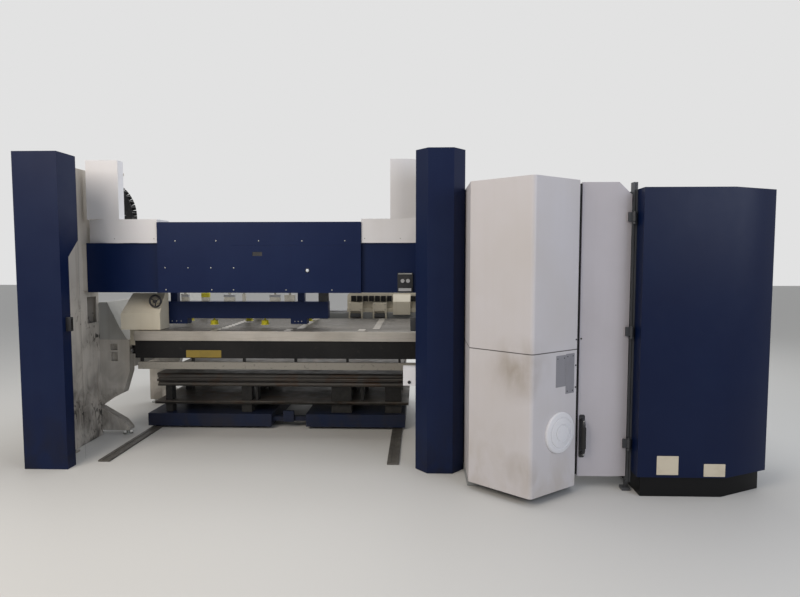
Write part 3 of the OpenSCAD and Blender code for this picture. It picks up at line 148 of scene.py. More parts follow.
class Surface:
    """A material under way: its tree, its place on the object and its shader."""

    def __init__(self, name: str) -> None:
        """Start an empty material.

        Args:
            name: the material's name.
        """
        self.material = bpy.data.materials.new(name)
        self.material.use_nodes = True
        self.tree = self.material.node_tree
        self.tree.nodes.clear()
        self.shader = add_node(self.tree, "BsdfPrincipled")
        add_node(self.tree, "OutputMaterial", {"Surface": self.shader.outputs["BSDF"]})
        self.place = add_node(self.tree, "TexCoord").outputs["Object"]

    def noise(
        self, size: float, stretch: Sequence[float] = (1, 1, 1), detail: float = 3, warp: float = 0
    ) -> Socket:
        """Noise whose blotches are about size metres across.

        Args:
            size: width of a blotch in metres.
            stretch: share of the frequency kept along X, Y and Z.
            detail: octaves of finer noise.
            warp: how much the noise bends itself.

        Returns:
            The noise's value socket.
        """
        scale = tuple(share / size for share in stretch)
        mapped = add_node(self.tree, "Mapping", {"Vector": self.place, "Scale": scale})
        made = add_node(
            self.tree,
            "TexNoise",
            {"Vector": mapped.outputs[0], "Scale": 1.0, "Detail": detail, "Distortion": warp},
        )
        return made.outputs["Fac"]

    def step(self, value: Socket, low: float, high: float, to_low: float = 0, to_high: float = 1) -> Socket:
        """Turn a value between low and high into one between to_low and to_high."""
        links = {"Value": value, 1: low, 2: high, 3: to_low, 4: to_high}
        return add_node(self.tree, "MapRange", links, clamp=True).outputs[0]

    def times(self, first: Socket, second: Socket | float) -> Socket:
        """Multiply two values."""
        return add_node(self.tree, "Math", {0: first, 1: second}, operation="MULTIPLY").outputs[0]

    def height(self) -> Socket:
        """Height over the floor of the point being shaded."""
        return add_node(self.tree, "SeparateXYZ", {0: self.place}).outputs[2]

    def mix(self, share: Socket | float, first: Socket | Colour, second: Socket | Colour) -> Socket:
        """Blend from the first colour to the second by a share."""
        made = add_node(self.tree, "Mix", {0: share, 6: first, 7: second}, data_type="RGBA")
        return made.outputs[2]

    def bump(self, height: Socket, depth: float, strength: float = 1.0) -> None:
        """Give the shader a relief of depth metres from a height value."""
        made = add_node(self.tree, "Bump", {"Height": height, "Distance": depth, "Strength": strength})
        self.tree.links.new(made.outputs[0], self.shader.inputs["Normal"])

    def finish(self, colour: Socket | Colour, roughness: Socket | float, **plain: float) -> bpy.types.Material:
        """Link colour and roughness, set what is uniform, and give the material.

        Args:
            colour: base colour, as a socket or linear RGBA.
            roughness: roughness, as a socket or a number.
            plain: other inputs of the shader that are the same all over.

        Returns:
            The finished material.
        """
        given = {"Base Color": colour, "Roughness": roughness}
        given.update({name.replace("_", " "): value for name, value in plain.items()})
        for name, value in given.items():
            if isinstance(value, Socket):
                self.tree.links.new(value, self.shader.inputs[name])
            else:
                self.shader.inputs[name].default_value = value
        return self.material


@dataclass(frozen=True)
class PowderCoat:
    """Polyester powder coat on folded sheet: satin, with a faint orange peel and a film of dust.

    The coat is even in colour. Workshop dust streaks down it, grime climbs from the floor and
    trolleys scuff it, each as far as the real cover shows; a seam's groove takes a line of painted shade.

    Attributes:
        name: the material's name.
        colour: the clean coat.
        dust: the coat under dust.
        roughness: the clean coat's roughness.
        streaks: how strongly dust runs down it.
        grime: colour of the dirt near the floor.
        grime_height: height at which that dirt ends, in metres.
        grime_amount: how strongly it covers.
        scuffs: how strongly rubbed marks cover.
        plinth: height of a black plinth, or 0 for none.
        seam: upper edge of a seam whose groove is painted dark as shade, or 0 for none.
        smudges: middle and reach of each greasy spot, in metres.
        sheen: how strongly the coat mirrors; 0.5 is an ordinary lacquer.
        dark_beyond: axis, start and end of a change to a dark leaf.
    """

    name: str
    colour: str
    dust: str
    roughness: float = 0.36
    streaks: float = 0.15
    grime: str = "#3b352d"
    grime_height: float = 0.0
    grime_amount: float = 0.0
    scuffs: float = 0.0
    plinth: float = 0.0
    seam: float = 0.0
    smudges: tuple[tuple[Point, float], ...] = ()
    sheen: float = 0.5
    dark_beyond: tuple[tuple[int, float, float], ...] = ()

    def material(self) -> bpy.types.Material:
        """Build the coat's material.

        Returns:
            The material.
        """
        s = Surface(self.name)
        cloud = s.step(s.noise(0.45), 0.35, 0.7, 0, 0.35)
        colour = s.mix(cloud, linear(self.colour), linear(self.dust))
        runs = s.step(s.noise(0.05, (1, 1, 0.05), 4), 0.5, 0.78, 0, self.streaks)
        colour = s.mix(runs, colour, linear(self.dust))
        colour = self.banded(s, self.soiled(s, colour))
        # Orange peel is about 2 mm across; drawn at 8 mm, which still shows
        # when the whole machine fills the view
        s.bump(s.noise(8 * MM, detail=1), 0.03 * MM, 0.35)
        rough = s.step(s.noise(0.09), 0.3, 0.7, self.roughness - 0.02, self.roughness + 0.04)
        return s.finish(colour, rough, Specular_IOR_Level=self.sheen)

    def soiled(self, s: Surface, colour: Socket) -> Socket:
        """Lay grime, scuffs and greasy spots over the coat.

        Args:
            s: the material under way.
            colour: the coat's colour so far.

        Returns:
            The colour with its dirt.
        """
        if self.grime_amount:
            rise = s.step(s.height(), 0.0, self.grime_height, 1, 0)
            smudge = s.step(s.noise(0.16, (1, 1, 0.6), 6, 0.8), 0.42, 0.66, 0, self.grime_amount)
            colour = s.mix(s.times(rise, smudge), colour, linear(self.grime))
        if self.scuffs:
            rubs = s.step(s.noise(0.04, (1, 1, 0.5), 6, 1.2), 0.56, 0.6, 0, 1)
            where = s.step(s.noise(0.45), 0.42, 0.56, 0, self.scuffs)
            low = s.step(s.height(), 0.9, 1.5, 1, 0)
            colour = s.mix(s.times(s.times(rubs, where), low), colour, linear(RUB_MARK))
        for middle, reach in self.smudges:
            away = add_node(s.tree, "VectorMath", {0: s.place, 1: middle}, operation="DISTANCE")
            near = s.step(away.outputs["Value"], 0.2 * reach, reach, 1, 0)
            smear = s.step(s.noise(0.12, (1, 1, 0.6), 4, 0.3), 0.3, 0.7, 0, 0.55)
            colour = s.mix(s.times(near, smear), colour, linear(GREASE_SMEAR))
        return colour

    def banded(self, s: Surface, colour: Socket) -> Socket:
        """Paint shade into the seam's groove, and darken the leaf past an edge and the plinth, where a cover
        has them.

        Args:
            s: the material under way.
            colour: the coat's colour so far.

        Returns:
            The colour with its dark bands.
        """
        # Painted shade: a dark line along the seam's groove, where the groove lies in shadow
        if self.seam:
            over = s.step(s.height(), self.seam - 7.5 * MM, self.seam - 6.5 * MM)
            below = s.step(s.height(), self.seam - 1 * MM, self.seam, 1, 0)
            colour = s.mix(s.times(s.times(over, below), 0.85), colour, linear(SEAM_SHADE))
        for axis, start, full in self.dark_beyond:
            side = add_node(s.tree, "SeparateXYZ", {0: s.place}).outputs[axis]
            colour = s.mix(s.step(side, start, full), colour, linear(DARK_LEAF))
        if self.plinth:
            under = s.step(s.height(), self.plinth - 0.5 * MM, self.plinth, 1, 0)
            colour = s.mix(under, colour, linear(PLINTH_BLACK))
        return colour


@dataclass(frozen=True)
class Enamel:
    """Machine enamel brushed or sprayed on castings and weldments: semi-gloss over a rougher ground.

    Attributes:
        name: the material's name.
        colour: the sound enamel.
        worn: the enamel where it is rubbed.
        wear: how strongly the rubbed spots cover.
        roughness: the sound enamel's roughness.
        lower: colour of a band from the floor up, or empty for none.
        lower_top: height of that band, in metres.
        sheen: how strongly the enamel mirrors.
    """

    name: str
    colour: str
    worn: str
    wear: float = 0.3
    roughness: float = 0.42
    lower: str = ""
    lower_top: float = 0.0
    sheen: float = 0.5

    def material(self) -> bpy.types.Material:
        """Build the enamel's material.

        Returns:
            The material.
        """
        s = Surface(self.name)
        colour = s.mix(s.step(s.noise(0.3), 0.35, 0.7, 0, 0.3), linear(self.colour), linear(self.worn))
        if self.lower:
            under = s.step(s.height(), self.lower_top - 0.5 * MM, self.lower_top, 1, 0)
            colour = s.mix(under, colour, linear(self.lower))
        rubs = s.step(s.noise(0.03, warp=1.2, detail=5), 0.6, 0.68, 0, self.wear)
        colour = s.mix(rubs, colour, linear(self.worn))
        s.bump(s.noise(6 * MM, detail=2), 0.12 * MM, 0.5)
        rough = s.step(s.noise(0.06), 0.3, 0.7, self.roughness - 0.06, self.roughness + 0.12)
        return s.finish(colour, rough, Specular_IOR_Level=self.sheen)


@dataclass(frozen=True)
class GroundSteel:
    """Ground or turned steel: bright, with fine marks along the way it was cut and a light oil stain."""

    name: str
    colour: str = "#b4b5b8"
    stain: str = "#6d6860"
    grain: Grain = Grain.NONE
    mark: float = 1.2 * MM
    roughness: float = 0.3

    def material(self) -> bpy.types.Material:
        """Build the steel's material.

        Returns:
            The material.
        """
        s = Surface(self.name)
        marks = s.noise(self.mark, self.grain.value, 2)
        stained = s.step(s.noise(0.12, warp=0.6), 0.5, 0.75, 0, 0.5)
        colour = s.mix(stained, linear(self.colour), linear(self.stain))
        rough = s.step(marks, 0.3, 0.7, self.roughness - 0.08, self.roughness + 0.14)
        s.bump(marks, 0.03 * MM, 0.6)
        return s.finish(colour, rough, Metallic=1.0)


@dataclass(frozen=True)
class MilledPlate:
    """Milled aluminium table plate: pale, dull metal that sliding sheets have scratched both ways."""

    name: str
    colour: str = "#b4afa8"
    roughness: float = 0.42

    def material(self) -> bpy.types.Material:
        """Build the plate's material.

        Returns:
            The material.
        """
        s = Surface(self.name)
        along = s.step(s.noise(4 * MM, Grain.ALONG_X.value, 2), 0.55, 0.75, 0, 0.35)
        across = s.step(s.noise(5 * MM, Grain.ALONG_Y.value, 2), 0.58, 0.75, 0, 0.25)
        colour = s.mix(s.step(s.noise(0.35), 0.35, 0.7, 0, 0.5), linear(self.colour), linear("#8f897f"))
        colour = s.mix(along, colour, linear("#7c776f"))
        colour = s.mix(across, colour, linear("#dedbd4"))
        rough = s.step(s.noise(0.08), 0.3, 0.7, self.roughness - 0.08, self.roughness + 0.12)
        s.bump(s.noise(3 * MM, Grain.ALONG_X.value, 2), 0.03 * MM, 0.6)
        return s.finish(colour, rough, Metallic=0.85)


@dataclass(frozen=True)
class ScaledSheet:
    """Hot-rolled sheet steel in the stack: mill scale, dull blue-grey, with brown rust blooming on it."""

    name: str
    colour: str = "#55524f"
    rust: str = "#5d4431"

    def material(self) -> bpy.types.Material:
        """Build the sheet's material.

        Returns:
            The material.
        """
        s = Surface(self.name)
        bloom = s.step(s.noise(0.2, warp=1.0, detail=6), 0.5, 0.66, 0, 0.7)
        colour = s.mix(bloom, linear(self.colour), linear(self.rust))
        # The edges of the single sheets show as lines 2 mm apart, drawn 5 mm apart to show at all
        layers = s.noise(5 * MM, (0.01, 0.01, 1), 1)
        colour = s.mix(s.step(layers, 0.4, 0.6, 0, 0.5), colour, linear("#7d7871"))
        s.bump(layers, 0.5 * MM, 0.7)
        return s.finish(colour, s.step(s.noise(0.1), 0.3, 0.7, 0.4, 0.62), Metallic=0.35)


@dataclass(frozen=True)
class MouldedPlastic:
    """Injection-moulded plastic such as nylon or ABS: one deep colour with a fine spark texture."""

    name: str
    colour: str
    dust: str = "#5b5954"
    roughness: float = 0.48
    texture: float = 1.5 * MM

    def material(self) -> bpy.types.Material:
        """Build the plastic's material.

        Returns:
            The material.
        """
        s = Surface(self.name)
        dusty = s.step(s.noise(0.07, detail=4), 0.5, 0.8, 0, 0.3)
        colour = s.mix(dusty, linear(self.colour), linear(self.dust))
        s.bump(s.noise(self.texture, detail=1), 0.05 * MM, 0.6)
        rough = s.step(s.noise(0.03), 0.3, 0.7, self.roughness - 0.05, self.roughness + 0.1)
        return s.finish(colour, rough, IOR=1.5)


@dataclass(frozen=True)
class Bristle:
    """Nylon bristles set on end: a dark, broken surface; 0.3 mm hairs drawn in 3 mm tufts to show."""

    name: str
    colour: str = "#141416"

    def material(self) -> bpy.types.Material:
        """Build the bristles' material.

        Returns:
            The material.
        """
        s = Surface(self.name)
        tufts = s.noise(3 * MM, detail=2)
        colour = s.mix(s.step(tufts, 0.45, 0.65), linear(self.colour), linear("#3c3b3a"))
        s.bump(tufts, 1.2 * MM, 0.9)
        return s.finish(colour, 0.8, IOR=1.5)


@dataclass(frozen=True)
class Silicone:
    """Soft moulded silicone of the suction cups: clear yellow, waxy, dulled by sheet dust."""

    name: str
    colour: str

    def material(self) -> bpy.types.Material:
        """Build the silicone's material.

        Returns:
            The material.
        """
        s = Surface(self.name)
        colour = s.mix(s.step(s.noise(0.02), 0.5, 0.8, 0, 0.4), linear(self.colour), linear("#8f8a3a"))
        s.bump(s.noise(2 * MM, detail=1), 0.05 * MM, 0.5)
        return s.finish(colour, s.step(s.noise(0.02), 0.3, 0.7, 0.4, 0.55), IOR=1.43)


Finish = PowderCoat | Enamel | GroundSteel | MilledPlate | ScaledSheet | MouldedPlastic | Bristle | Silicone

BLUE = PowderCoat("dark_blue_powder_coat", "#06183e", "#13254a", 0.42, 0.12, sheen=0.18)
CABINET_BLUE = PowderCoat("cabinet_blue_powder_coat", "#031132", "#0c1c3c", 0.36, 0.1, plinth=0.137, sheen=0.2)
TOWER_BLUE = PowderCoat(
    "tower_blue_powder_coat", "#081638", "#172544", 0.42, 0.16, grime="#15141a", grime_height=0.6,
    grime_amount=0.6, sheen=0.18,
)
CART_BLUE = PowderCoat(
    "cart_blue_powder_coat", "#0e1b36", "#292e3f", 0.48, 0.2, grime="#25242a", grime_height=0.4,
    grime_amount=0.8, sheen=0.22,
)
# Painted light: the same light grey paint as the prow, made lighter because overhead lamps light these covers
# from above
WHITE = PowderCoat("light_grey_powder_coat", "#dbdbdf", "#cac8c6", 0.42, 0.1)
PROW_WHITE = PowderCoat(
    "prow_light_grey_powder_coat", "#c6c3c6", "#bab4af", 0.42, 0.12, grime="#9a8c74", grime_height=0.6,
    grime_amount=0.3, seam=0.969, smudges=(((0.93, -1.83, 0.86), 0.24), ((0.95, -1.85, 0.22), 0.13)),
)
DIRTY_WHITE = PowderCoat(
    "scuffed_white_powder_coat", "#c2bdb5", "#8d8272", 0.48, 0.45, grime="#2e2a25", grime_height=1.3,
    grime_amount=0.95, scuffs=0.95,
)
FRAME_WHITE = PowderCoat(
    "rail_frame_white_powder_coat", "#c2beb7", "#978d7e", 0.48, 0.35, grime="#4a4238", grime_height=0.9,
    grime_amount=0.7, scuffs=0.22,
)
CREAM = PowderCoat("cream_powder_coat", "#cfc9b8", "#a89f8c", 0.44, 0.18)
# Painted shade: the covers' light grey paint, darkened because the door stands in shade; the leaf past the
# hinge keeps the post's dark colour
SHADED_DOOR_WHITE = PowderCoat(
    "door_shaded_light_grey_powder_coat", "#b1aeb4", "#9f9b9e", 0.4, 0.12,
    dark_beyond=((0, 1.7005, 1.701), (1, -1.6205, -1.621)),
)
DUCT_GREY = PowderCoat("duct_grey_powder_coat", "#a8a8a4", "#827e76", 0.52, 0.3)
POST_GREY = Enamel("post_grey_enamel", "#3c3e42", "#5b5d60", 0.2)
MACHINE_GREY = Enamel("machine_grey_enamel", "#8e9192", "#6c6d6b", 0.3)
MACHINE_BLACK = Enamel("black_enamel", "#131417", "#3b3936", 0.35, 0.45, sheen=0.3)
TABLE_BLACK = Enamel("table_frame_enamel", "#0c0c0e", "#2a2827", 0.35, 0.45, "#85827b", 0.688, 0.22)
TRACK_STEEL = Enamel("trodden_track_steel", "#45433f", "#77736c", 0.6, 0.5)
RUBBER_BLOCK = MouldedPlastic("black_rubber_block", "#1c1b1a", "#4a4640", 0.7, 4 * MM)
DOOR_RUBBER = MouldedPlastic("black_door_rubber", "#101011", "#242322", 0.7, 3 * MM)
SHAFT_STEEL = GroundSteel("turned_steel", grain=Grain.NONE)
RAIL_X_STEEL = GroundSteel("ground_steel_along_x", grain=Grain.ALONG_X)
RAIL_Y_STEEL = GroundSteel("ground_steel_along_y", grain=Grain.ALONG_Y)
ZINC = GroundSteel("zinc_plated_steel", "#a8a9a6", "#7a756b", Grain.NONE, 0.8 * MM, 0.36)
TABLE_PLATE = MilledPlate("milled_aluminium")
PORT_METAL = GroundSteel("nickel_plated_brass", "#bdb9ae", "#7c766a", Grain.NONE, 1 * MM, 0.28)
STACK_STEEL = ScaledSheet("hot_rolled_sheet_steel")
BLACK_NYLON = MouldedPlastic("black_nylon", "#18191c")
BLACK_ABS = MouldedPlastic("black_abs", "#1d1e22", roughness=0.4)
GREY_ABS = MouldedPlastic("grey_abs", "#a9abb0", "#8b8a88", 0.35)
PLATE_GREY = MouldedPlastic("anodised_grey_plate", "#87868b", "#6d6b6c", 0.35, 2 * MM)
PLATE_CREAM = MouldedPlastic("cream_laminate_plate", "#c6bda9", "#8d7f66", 0.5, 2 * MM)
PLATE_YELLOW = MouldedPlastic("yellow_laminate_plate", "#7f6c24", "#3f3a22", 0.5, 2 * MM)
LENS_WHITE = MouldedPlastic("opal_acrylic", "#dfe5ee", "#b9bdc4", 0.2, 1 * MM)
DARK_GLASS = MouldedPlastic("smoked_acrylic", "#0b0c10", "#1c1e24", 0.12, 1 * MM)
BRUSH_HAIR = Bristle("nylon_bristles")
YELLOW_SILICONE = Silicone("yellow_silicone", "#c8c02e")

_made: dict[str, bpy.types.Material] = {}


def material_of(finish: Finish) -> bpy.types.Material:
    """Give a finish's material, built the first time it is asked for.

    Args:
        finish: the finish asked for.

    Returns:
        Its material.
    """
    if finish.name not in _made:
        _made[finish.name] = finish.material()
    return _made[finish.name]


def facing(point: Point, normal: Point, up: Point = (0, 0, 1)) -> Matrix:
    """A place whose Z looks along normal and whose Y is as near up as it can be.

    Args:
        point: where the place's origin lies.
        normal: the direction in which its Z looks.
        up: the direction that its Y leans to.

    Returns:
        The place as a matrix.
    """
    z = Vector(normal).normalized()
    x = Vector(up).cross(z).normalized()
    y = z.cross(x)
    turn = Matrix((x, y, z)).transposed().to_4x4()
    return Matrix.Translation(point) @ turn


def rounded(width: float, height: float, radius: float, steps: int = 4) -> list[tuple[float, float]]:
    """Outline of a rectangle with rounded corners, about its middle.

    Args:
        width: size along X.
        height: size along Y.
        radius: radius of the corners.
        steps: edges in each corner.

    Returns:
        The outline's points, anticlockwise.
    """
    points = []
    for corner, (sx, sy) in enumerate([(1, 1), (-1, 1), (-1, -1), (1, -1)]):
        cx, cy = sx * (width / 2 - radius), sy * (height / 2 - radius)
        for i in range(steps + 1):
            angle = math.radians(90 * corner + 90 * i / steps)
            points.append((cx + radius * math.cos(angle), cy + radius * math.sin(angle)))
    return points


class Workpiece:
    """Faces gathered in one mesh, which then becomes a piece of the scene."""

    def __init__(self, name: str) -> None:
        """Start an empty mesh for the piece of this name."""
        self.name = name
        self.mesh = bmesh.new()

    def loft(self, rings: Iterable[Sequence[Point]], place: Matrix) -> None:
        """Close a solid over a run of rings with the same number of points.

        Args:
            rings: the rings from bottom to top, each anticlockwise seen from the top.
            place: where the solid goes.
        """
        laid = [[self.mesh.verts.new(place @ Vector(p)) for p in ring] for ring in rings]
        self.mesh.faces.new(laid[0][::-1])
        for low, high in zip(laid, laid[1:]):
            count = len(low)
            for i in range(count):
                j = (i + 1) % count
                self.mesh.faces.new((low[i], low[j], high[j], high[i]))
        self.mesh.faces.new(laid[-1])

    def plate(self, width: float, height: float, depth: float, place: Matrix, radius: float = 2 * MM) -> None:
        """A flat plate with rounded corners and a small chamfer.

        Args:
            width: size along the place's X.
            height: size along the place's Y.
            depth: how far it stands out along the place's Z.
            place: the middle of its back.
            radius: radius of its corners.
        """
        chamfer = min(depth, radius) * 0.4
        base = rounded(width, height, radius)
        inner = rounded(width - 2 * chamfer, height - 2 * chamfer, radius - chamfer * 0.5)
        levels = [(base, 0.0), (base, depth - chamfer), (inner, depth)]
        self.loft([[(x, y, z) for x, y in ring] for ring, z in levels], place)

    def turned(self, profile: Sequence[tuple[float, float]], place: Matrix, sides: int = ROUND_SIDES) -> None:
        """A turned solid about the place's Z, from (radius, height) pairs from bottom to top."""
        angles = [2 * math.pi * i / sides for i in range(sides)]
        self.loft([[(r * math.cos(a), r * math.sin(a), z) for a in angles] for r, z in profile], place)

    def socket_screw(self, radius: float, place: Matrix) -> None:
        """A button-head screw with a hexagon socket.

        Args:
            radius: radius of the head.
            place: the middle of the head's underside.
        """
        angles = [2 * math.pi * i / ROUND_SIDES for i in range(ROUND_SIDES)]
        apothem = 0.38 * radius
        hexagon = [apothem / math.cos((a + math.pi / 6) % (math.pi / 3) - math.pi / 6) for a in angles]
        rings = [[share * radius] * ROUND_SIDES for share in (1, 1, 0.86, 0.6)] + [hexagon, hexagon]
        levels = [0, 0.12 * radius, 0.38 * radius, 0.5 * radius, 0.5 * radius, 0.15 * radius]
        solid = [
            [(r * math.cos(a), r * math.sin(a), z) for r, a in zip(ring, angles)]
            for ring, z in zip(rings, levels)
        ]
        self.loft(solid, place)

    def piece(self, body: str, finish: Finish) -> None:
        """Turn the gathered faces into a piece that rides on a body.

        Args:
            body: the CAD body that carries the piece.
            finish: the piece's finish.
        """
        bmesh.ops.recalc_face_normals(self.mesh, faces=self.mesh.faces)
        data = bpy.data.meshes.new(self.name)
        self.mesh.to_mesh(data)
        self.mesh.free()
        data.polygons.foreach_set("use_smooth", [True] * len(data.polygons))
        data.set_sharp_from_angle(angle=SHARP_ANGLE)
        obj = placed(self.name, data)
        data.materials.append(material_of(finish))
        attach(obj, body)
        log.info("%s: %d faces on %s", self.name, len(data.polygons), body)


def dress(node: str, finish: Finish, edge: float) -> None:
    """Give a CAD node its material, and break its sharp edges as the real sheet's are.

    Args:
        node: the CAD node's name.
        finish: its finish.
        edge: width of the rounding on its edges; 0 leaves them sharp.
    """
    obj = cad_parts[node]
    if obj.material_slots:
        for held in obj.material_slots:
            held.material = material_of(finish)
    else:
        obj.data.materials.append(material_of(finish))
    obj.data.polygons.foreach_set("use_smooth", [True] * len(obj.data.polygons))
    join_points(obj)
    if edge:
        bevel = obj.modifiers.new("broken_edges", "BEVEL")
        bevel.width = edge
        bevel.segments = EDGE_SEGMENTS
        bevel.limit_method = "ANGLE"
        bevel.angle_limit = SHARP_ANGLE
        bevel.use_clamp_overlap = True
    normals = obj.modifiers.new("flat_faces", "WEIGHTED_NORMAL")
    normals.weight = NORMAL_WEIGHT
    normals.keep_sharp = True
    log.info("%s wears %s", node, finish.name)


@dataclass
class Press:
    """The C-shaped press frame, its head, die and turning tools."""

    frame_edge: float = 5 * MM

    def build(self) -> None:
        """Dress the castings and the turned parts."""
        dress("c_frame", MACHINE_GREY, self.frame_edge)
        for node in ("head_block", "die_block"):
            dress(node, MACHINE_GREY, 2 * MM)
        dress("die_table", CREAM, 1 * MM)
        dress("tool_motors", MACHINE_BLACK, 1.5 * MM)
        for node in ("punch_sleeve", "die_holder", "upper_pinion", "lower_pinion"):
            dress(node, SHAFT_STEEL, 0)
        dress("ram", SHAFT_STEEL, 1 * MM)


@dataclass
class HeadHousing:
    """The pointed housing round the press, its round cover and its bare plates."""

    face_start: Point = (1.0275, -1.8944, 0.0)
    face_end: Point = (1.35, -1.656, 0.0)
    screw: float = 6 * MM
    plate_thickness: float = 1.2 * MM
    # Share of the face's width, and height, of each rivet
    rivets: tuple[tuple[float, float], ...] = (
        (0.53, 0.918), (0.69, 0.918), (0.77, 0.925), (0.9, 0.925), (0.77, 0.698), (0.9, 0.698),
    )
    strip_screws: tuple[float, ...] = (1.03, 0.86, 0.715)
    side_screws: tuple[float, ...] = (0.2, 0.6, 1.1, 1.6, 1.95)
    rear_screws: tuple[float, ...] = (0.68, 0.85, 1.15, 1.32)

    def on_right_face(self, share: float, z: float, proud: float = 0.0) -> Matrix:
        """A place on the prow's right face.

        Args:
            share: how far along the face's width, from 0 to 1.
            z: height over the floor.
            proud: distance in front of the face.

        Returns:
            The place, looking away from the face.
        """
        start, end = Vector(self.face_start), Vector(self.face_end)
        along = (end - start).normalized()
        normal = Vector((along.y, -along.x, 0))
        point = start.lerp(end, share) + Vector((0, 0, z)) + normal * proud
        return facing(tuple(point), tuple(normal))

    def build(self) -> None:
        """Dress the covers and add what is fixed to them."""
        for node in ("prow_upper_cover", "prow_lower_cover"):
            dress(node, PROW_WHITE, 1.2 * MM)
        dress("arm_cover", WHITE, 1.2 * MM)
        dress("disc_cover", WHITE, 0.6 * MM)
        self.plates()
        self.screws()

    def plates(self) -> None:
        """Two bare grey plates side by side, with two rivets each."""
        work = Workpiece("housing_plates")
        work.plate(0.084, 0.262, self.plate_thickness, self.on_right_face(0.835, 0.812))
        work.plate(0.094, 0.205, self.plate_thickness, self.on_right_face(0.61, 0.836))
        work.piece("machine", PLATE_GREY)
        rivets = Workpiece("plate_rivets")
        head = [(4 * MM, 0), (4 * MM, 1 * MM), (2.4 * MM, 2.2 * MM), (0.4 * MM, 2.4 * MM)]
        for share, z in self.rivets:
            rivets.turned(head, self.on_right_face(share, z, self.plate_thickness), 16)
        rivets.piece("machine", MACHINE_BLACK)

    def screws(self) -> None:
        """Screws on the prow's right edge, and on the housing's sides and rear."""
        edge = Workpiece("prow_screws")
        for z in self.strip_screws:
            edge.socket_screw(self.screw, self.on_right_face(0.975, z))
        edge.piece("machine", MACHINE_BLACK)
        work = Workpiece("housing_screws")
        for z in self.side_screws:
            work.socket_screw(self.screw, facing((0.65, -1.2, z), (-1, 0, 0)))
            work.socket_screw(self.screw, facing((1.35, -1.2, z), (1, 0, 0)))
        for x in self.rear_screws:
            for z in (1.3, 2.03):
                work.socket_screw(self.screw, facing((x, 0.515, z), (0, 1, 0)))
        work.piece("machine", ZINC)


@dataclass
class ServiceDoor:
    """The tall door between housing and cabinet, its post, handle and switch."""

    front: float = -1.62
    handle_x: float = 1.402
    ribs: int = 23
    screw: float = 6 * MM

    def build(self) -> None:
        """Dress door, handle and post, and add what is fixed to them."""
        dress("service_door", SHADED_DOOR_WHITE, 1.5 * MM)
        dress("door_handle", BLACK_ABS, 0)
        dress("hinge_post", POST_GREY, 1 * MM)
        self.handle()
        self.fittings()

    def handle(self) -> None:
        """The handle's screws, its plate on the door and its ribbed grip."""
        screws = Workpiece("handle_screws")
        for z in (0.262, 0.486):
            screws.socket_screw(5 * MM, facing((self.handle_x, -1.6687, z), (0, -1, 0)))
        screws.piece("door", ZINC)
        back = Workpiece("handle_plate")
        back.plate(38 * MM, 0.292, 3 * MM, facing((self.handle_x, self.front, 0.374), (0, -1, 0)), 12 * MM)
        back.piece("door", BLACK_ABS)
        grip = Workpiece("handle_grip")
        ribs = [(15 * MM if i % 2 else 16 * MM, (8 + 6 * i) * MM) for i in range(self.ribs)]
        place = facing((self.handle_x, -1.668, 0.300), (0, 0, 1), (0, 1, 0))
        grip.turned([(12 * MM, 0), (15 * MM, 3 * MM), *ribs, (15 * MM, 0.145), (12 * MM, 0.148)], place, 32)
        grip.piece("door", DOOR_RUBBER)

    def fittings(self) -> None:
        """The door's single screw, the rubber seal beside it and the switch over it."""
        single = Workpiece("door_screw")
        single.socket_screw(self.screw, facing((1.386, self.front, 1.03), (0, -1, 0)))
        single.piece("door", MACHINE_BLACK)
        seal = Workpiece("door_seal")
        seal.plate(24 * MM, 1.94, 8 * MM, facing((1.3635, -1.597, 1.078), (0, -1, 0)), 3 * MM)
        seal.piece("door", DOOR_RUBBER)
        switch = Workpiece("door_switch")
        switch.plate(30 * MM, 60 * MM, 20 * MM, facing((1.35, -1.6, 2.005), (1, 0, 0)), 4 * MM)
        switch.piece("machine", BLACK_ABS)


@dataclass
class ControlCabinet:
    """The blue cabinet with its black plinth and two bare plates.

    Attributes:
        front: Y of its front face.
        plates: left, right, foot and top of each plate.
    """

    front: float = -1.73
    plates: tuple[tuple[float, float, float, float], ...] = (
        (1.858, 1.997, 0.155, 0.28), (2.16, 2.297, 0.146, 0.23),
    )

    def build(self) -> None:
        """Dress the cabinet and fix the plates to its front."""
        dress("control_cabinet", CABINET_BLUE, 1.4 * MM)
        work = Workpiece("cabinet_plates")
        for x0, x1, z0, z1 in self.plates:
            place = facing(((x0 + x1) / 2, self.front, (z0 + z1) / 2), (0, -1, 0))
            work.plate(x1 - x0, z1 - z0, 1 * MM, place, 3 * MM)
        work.piece("machine", PLATE_CREAM)


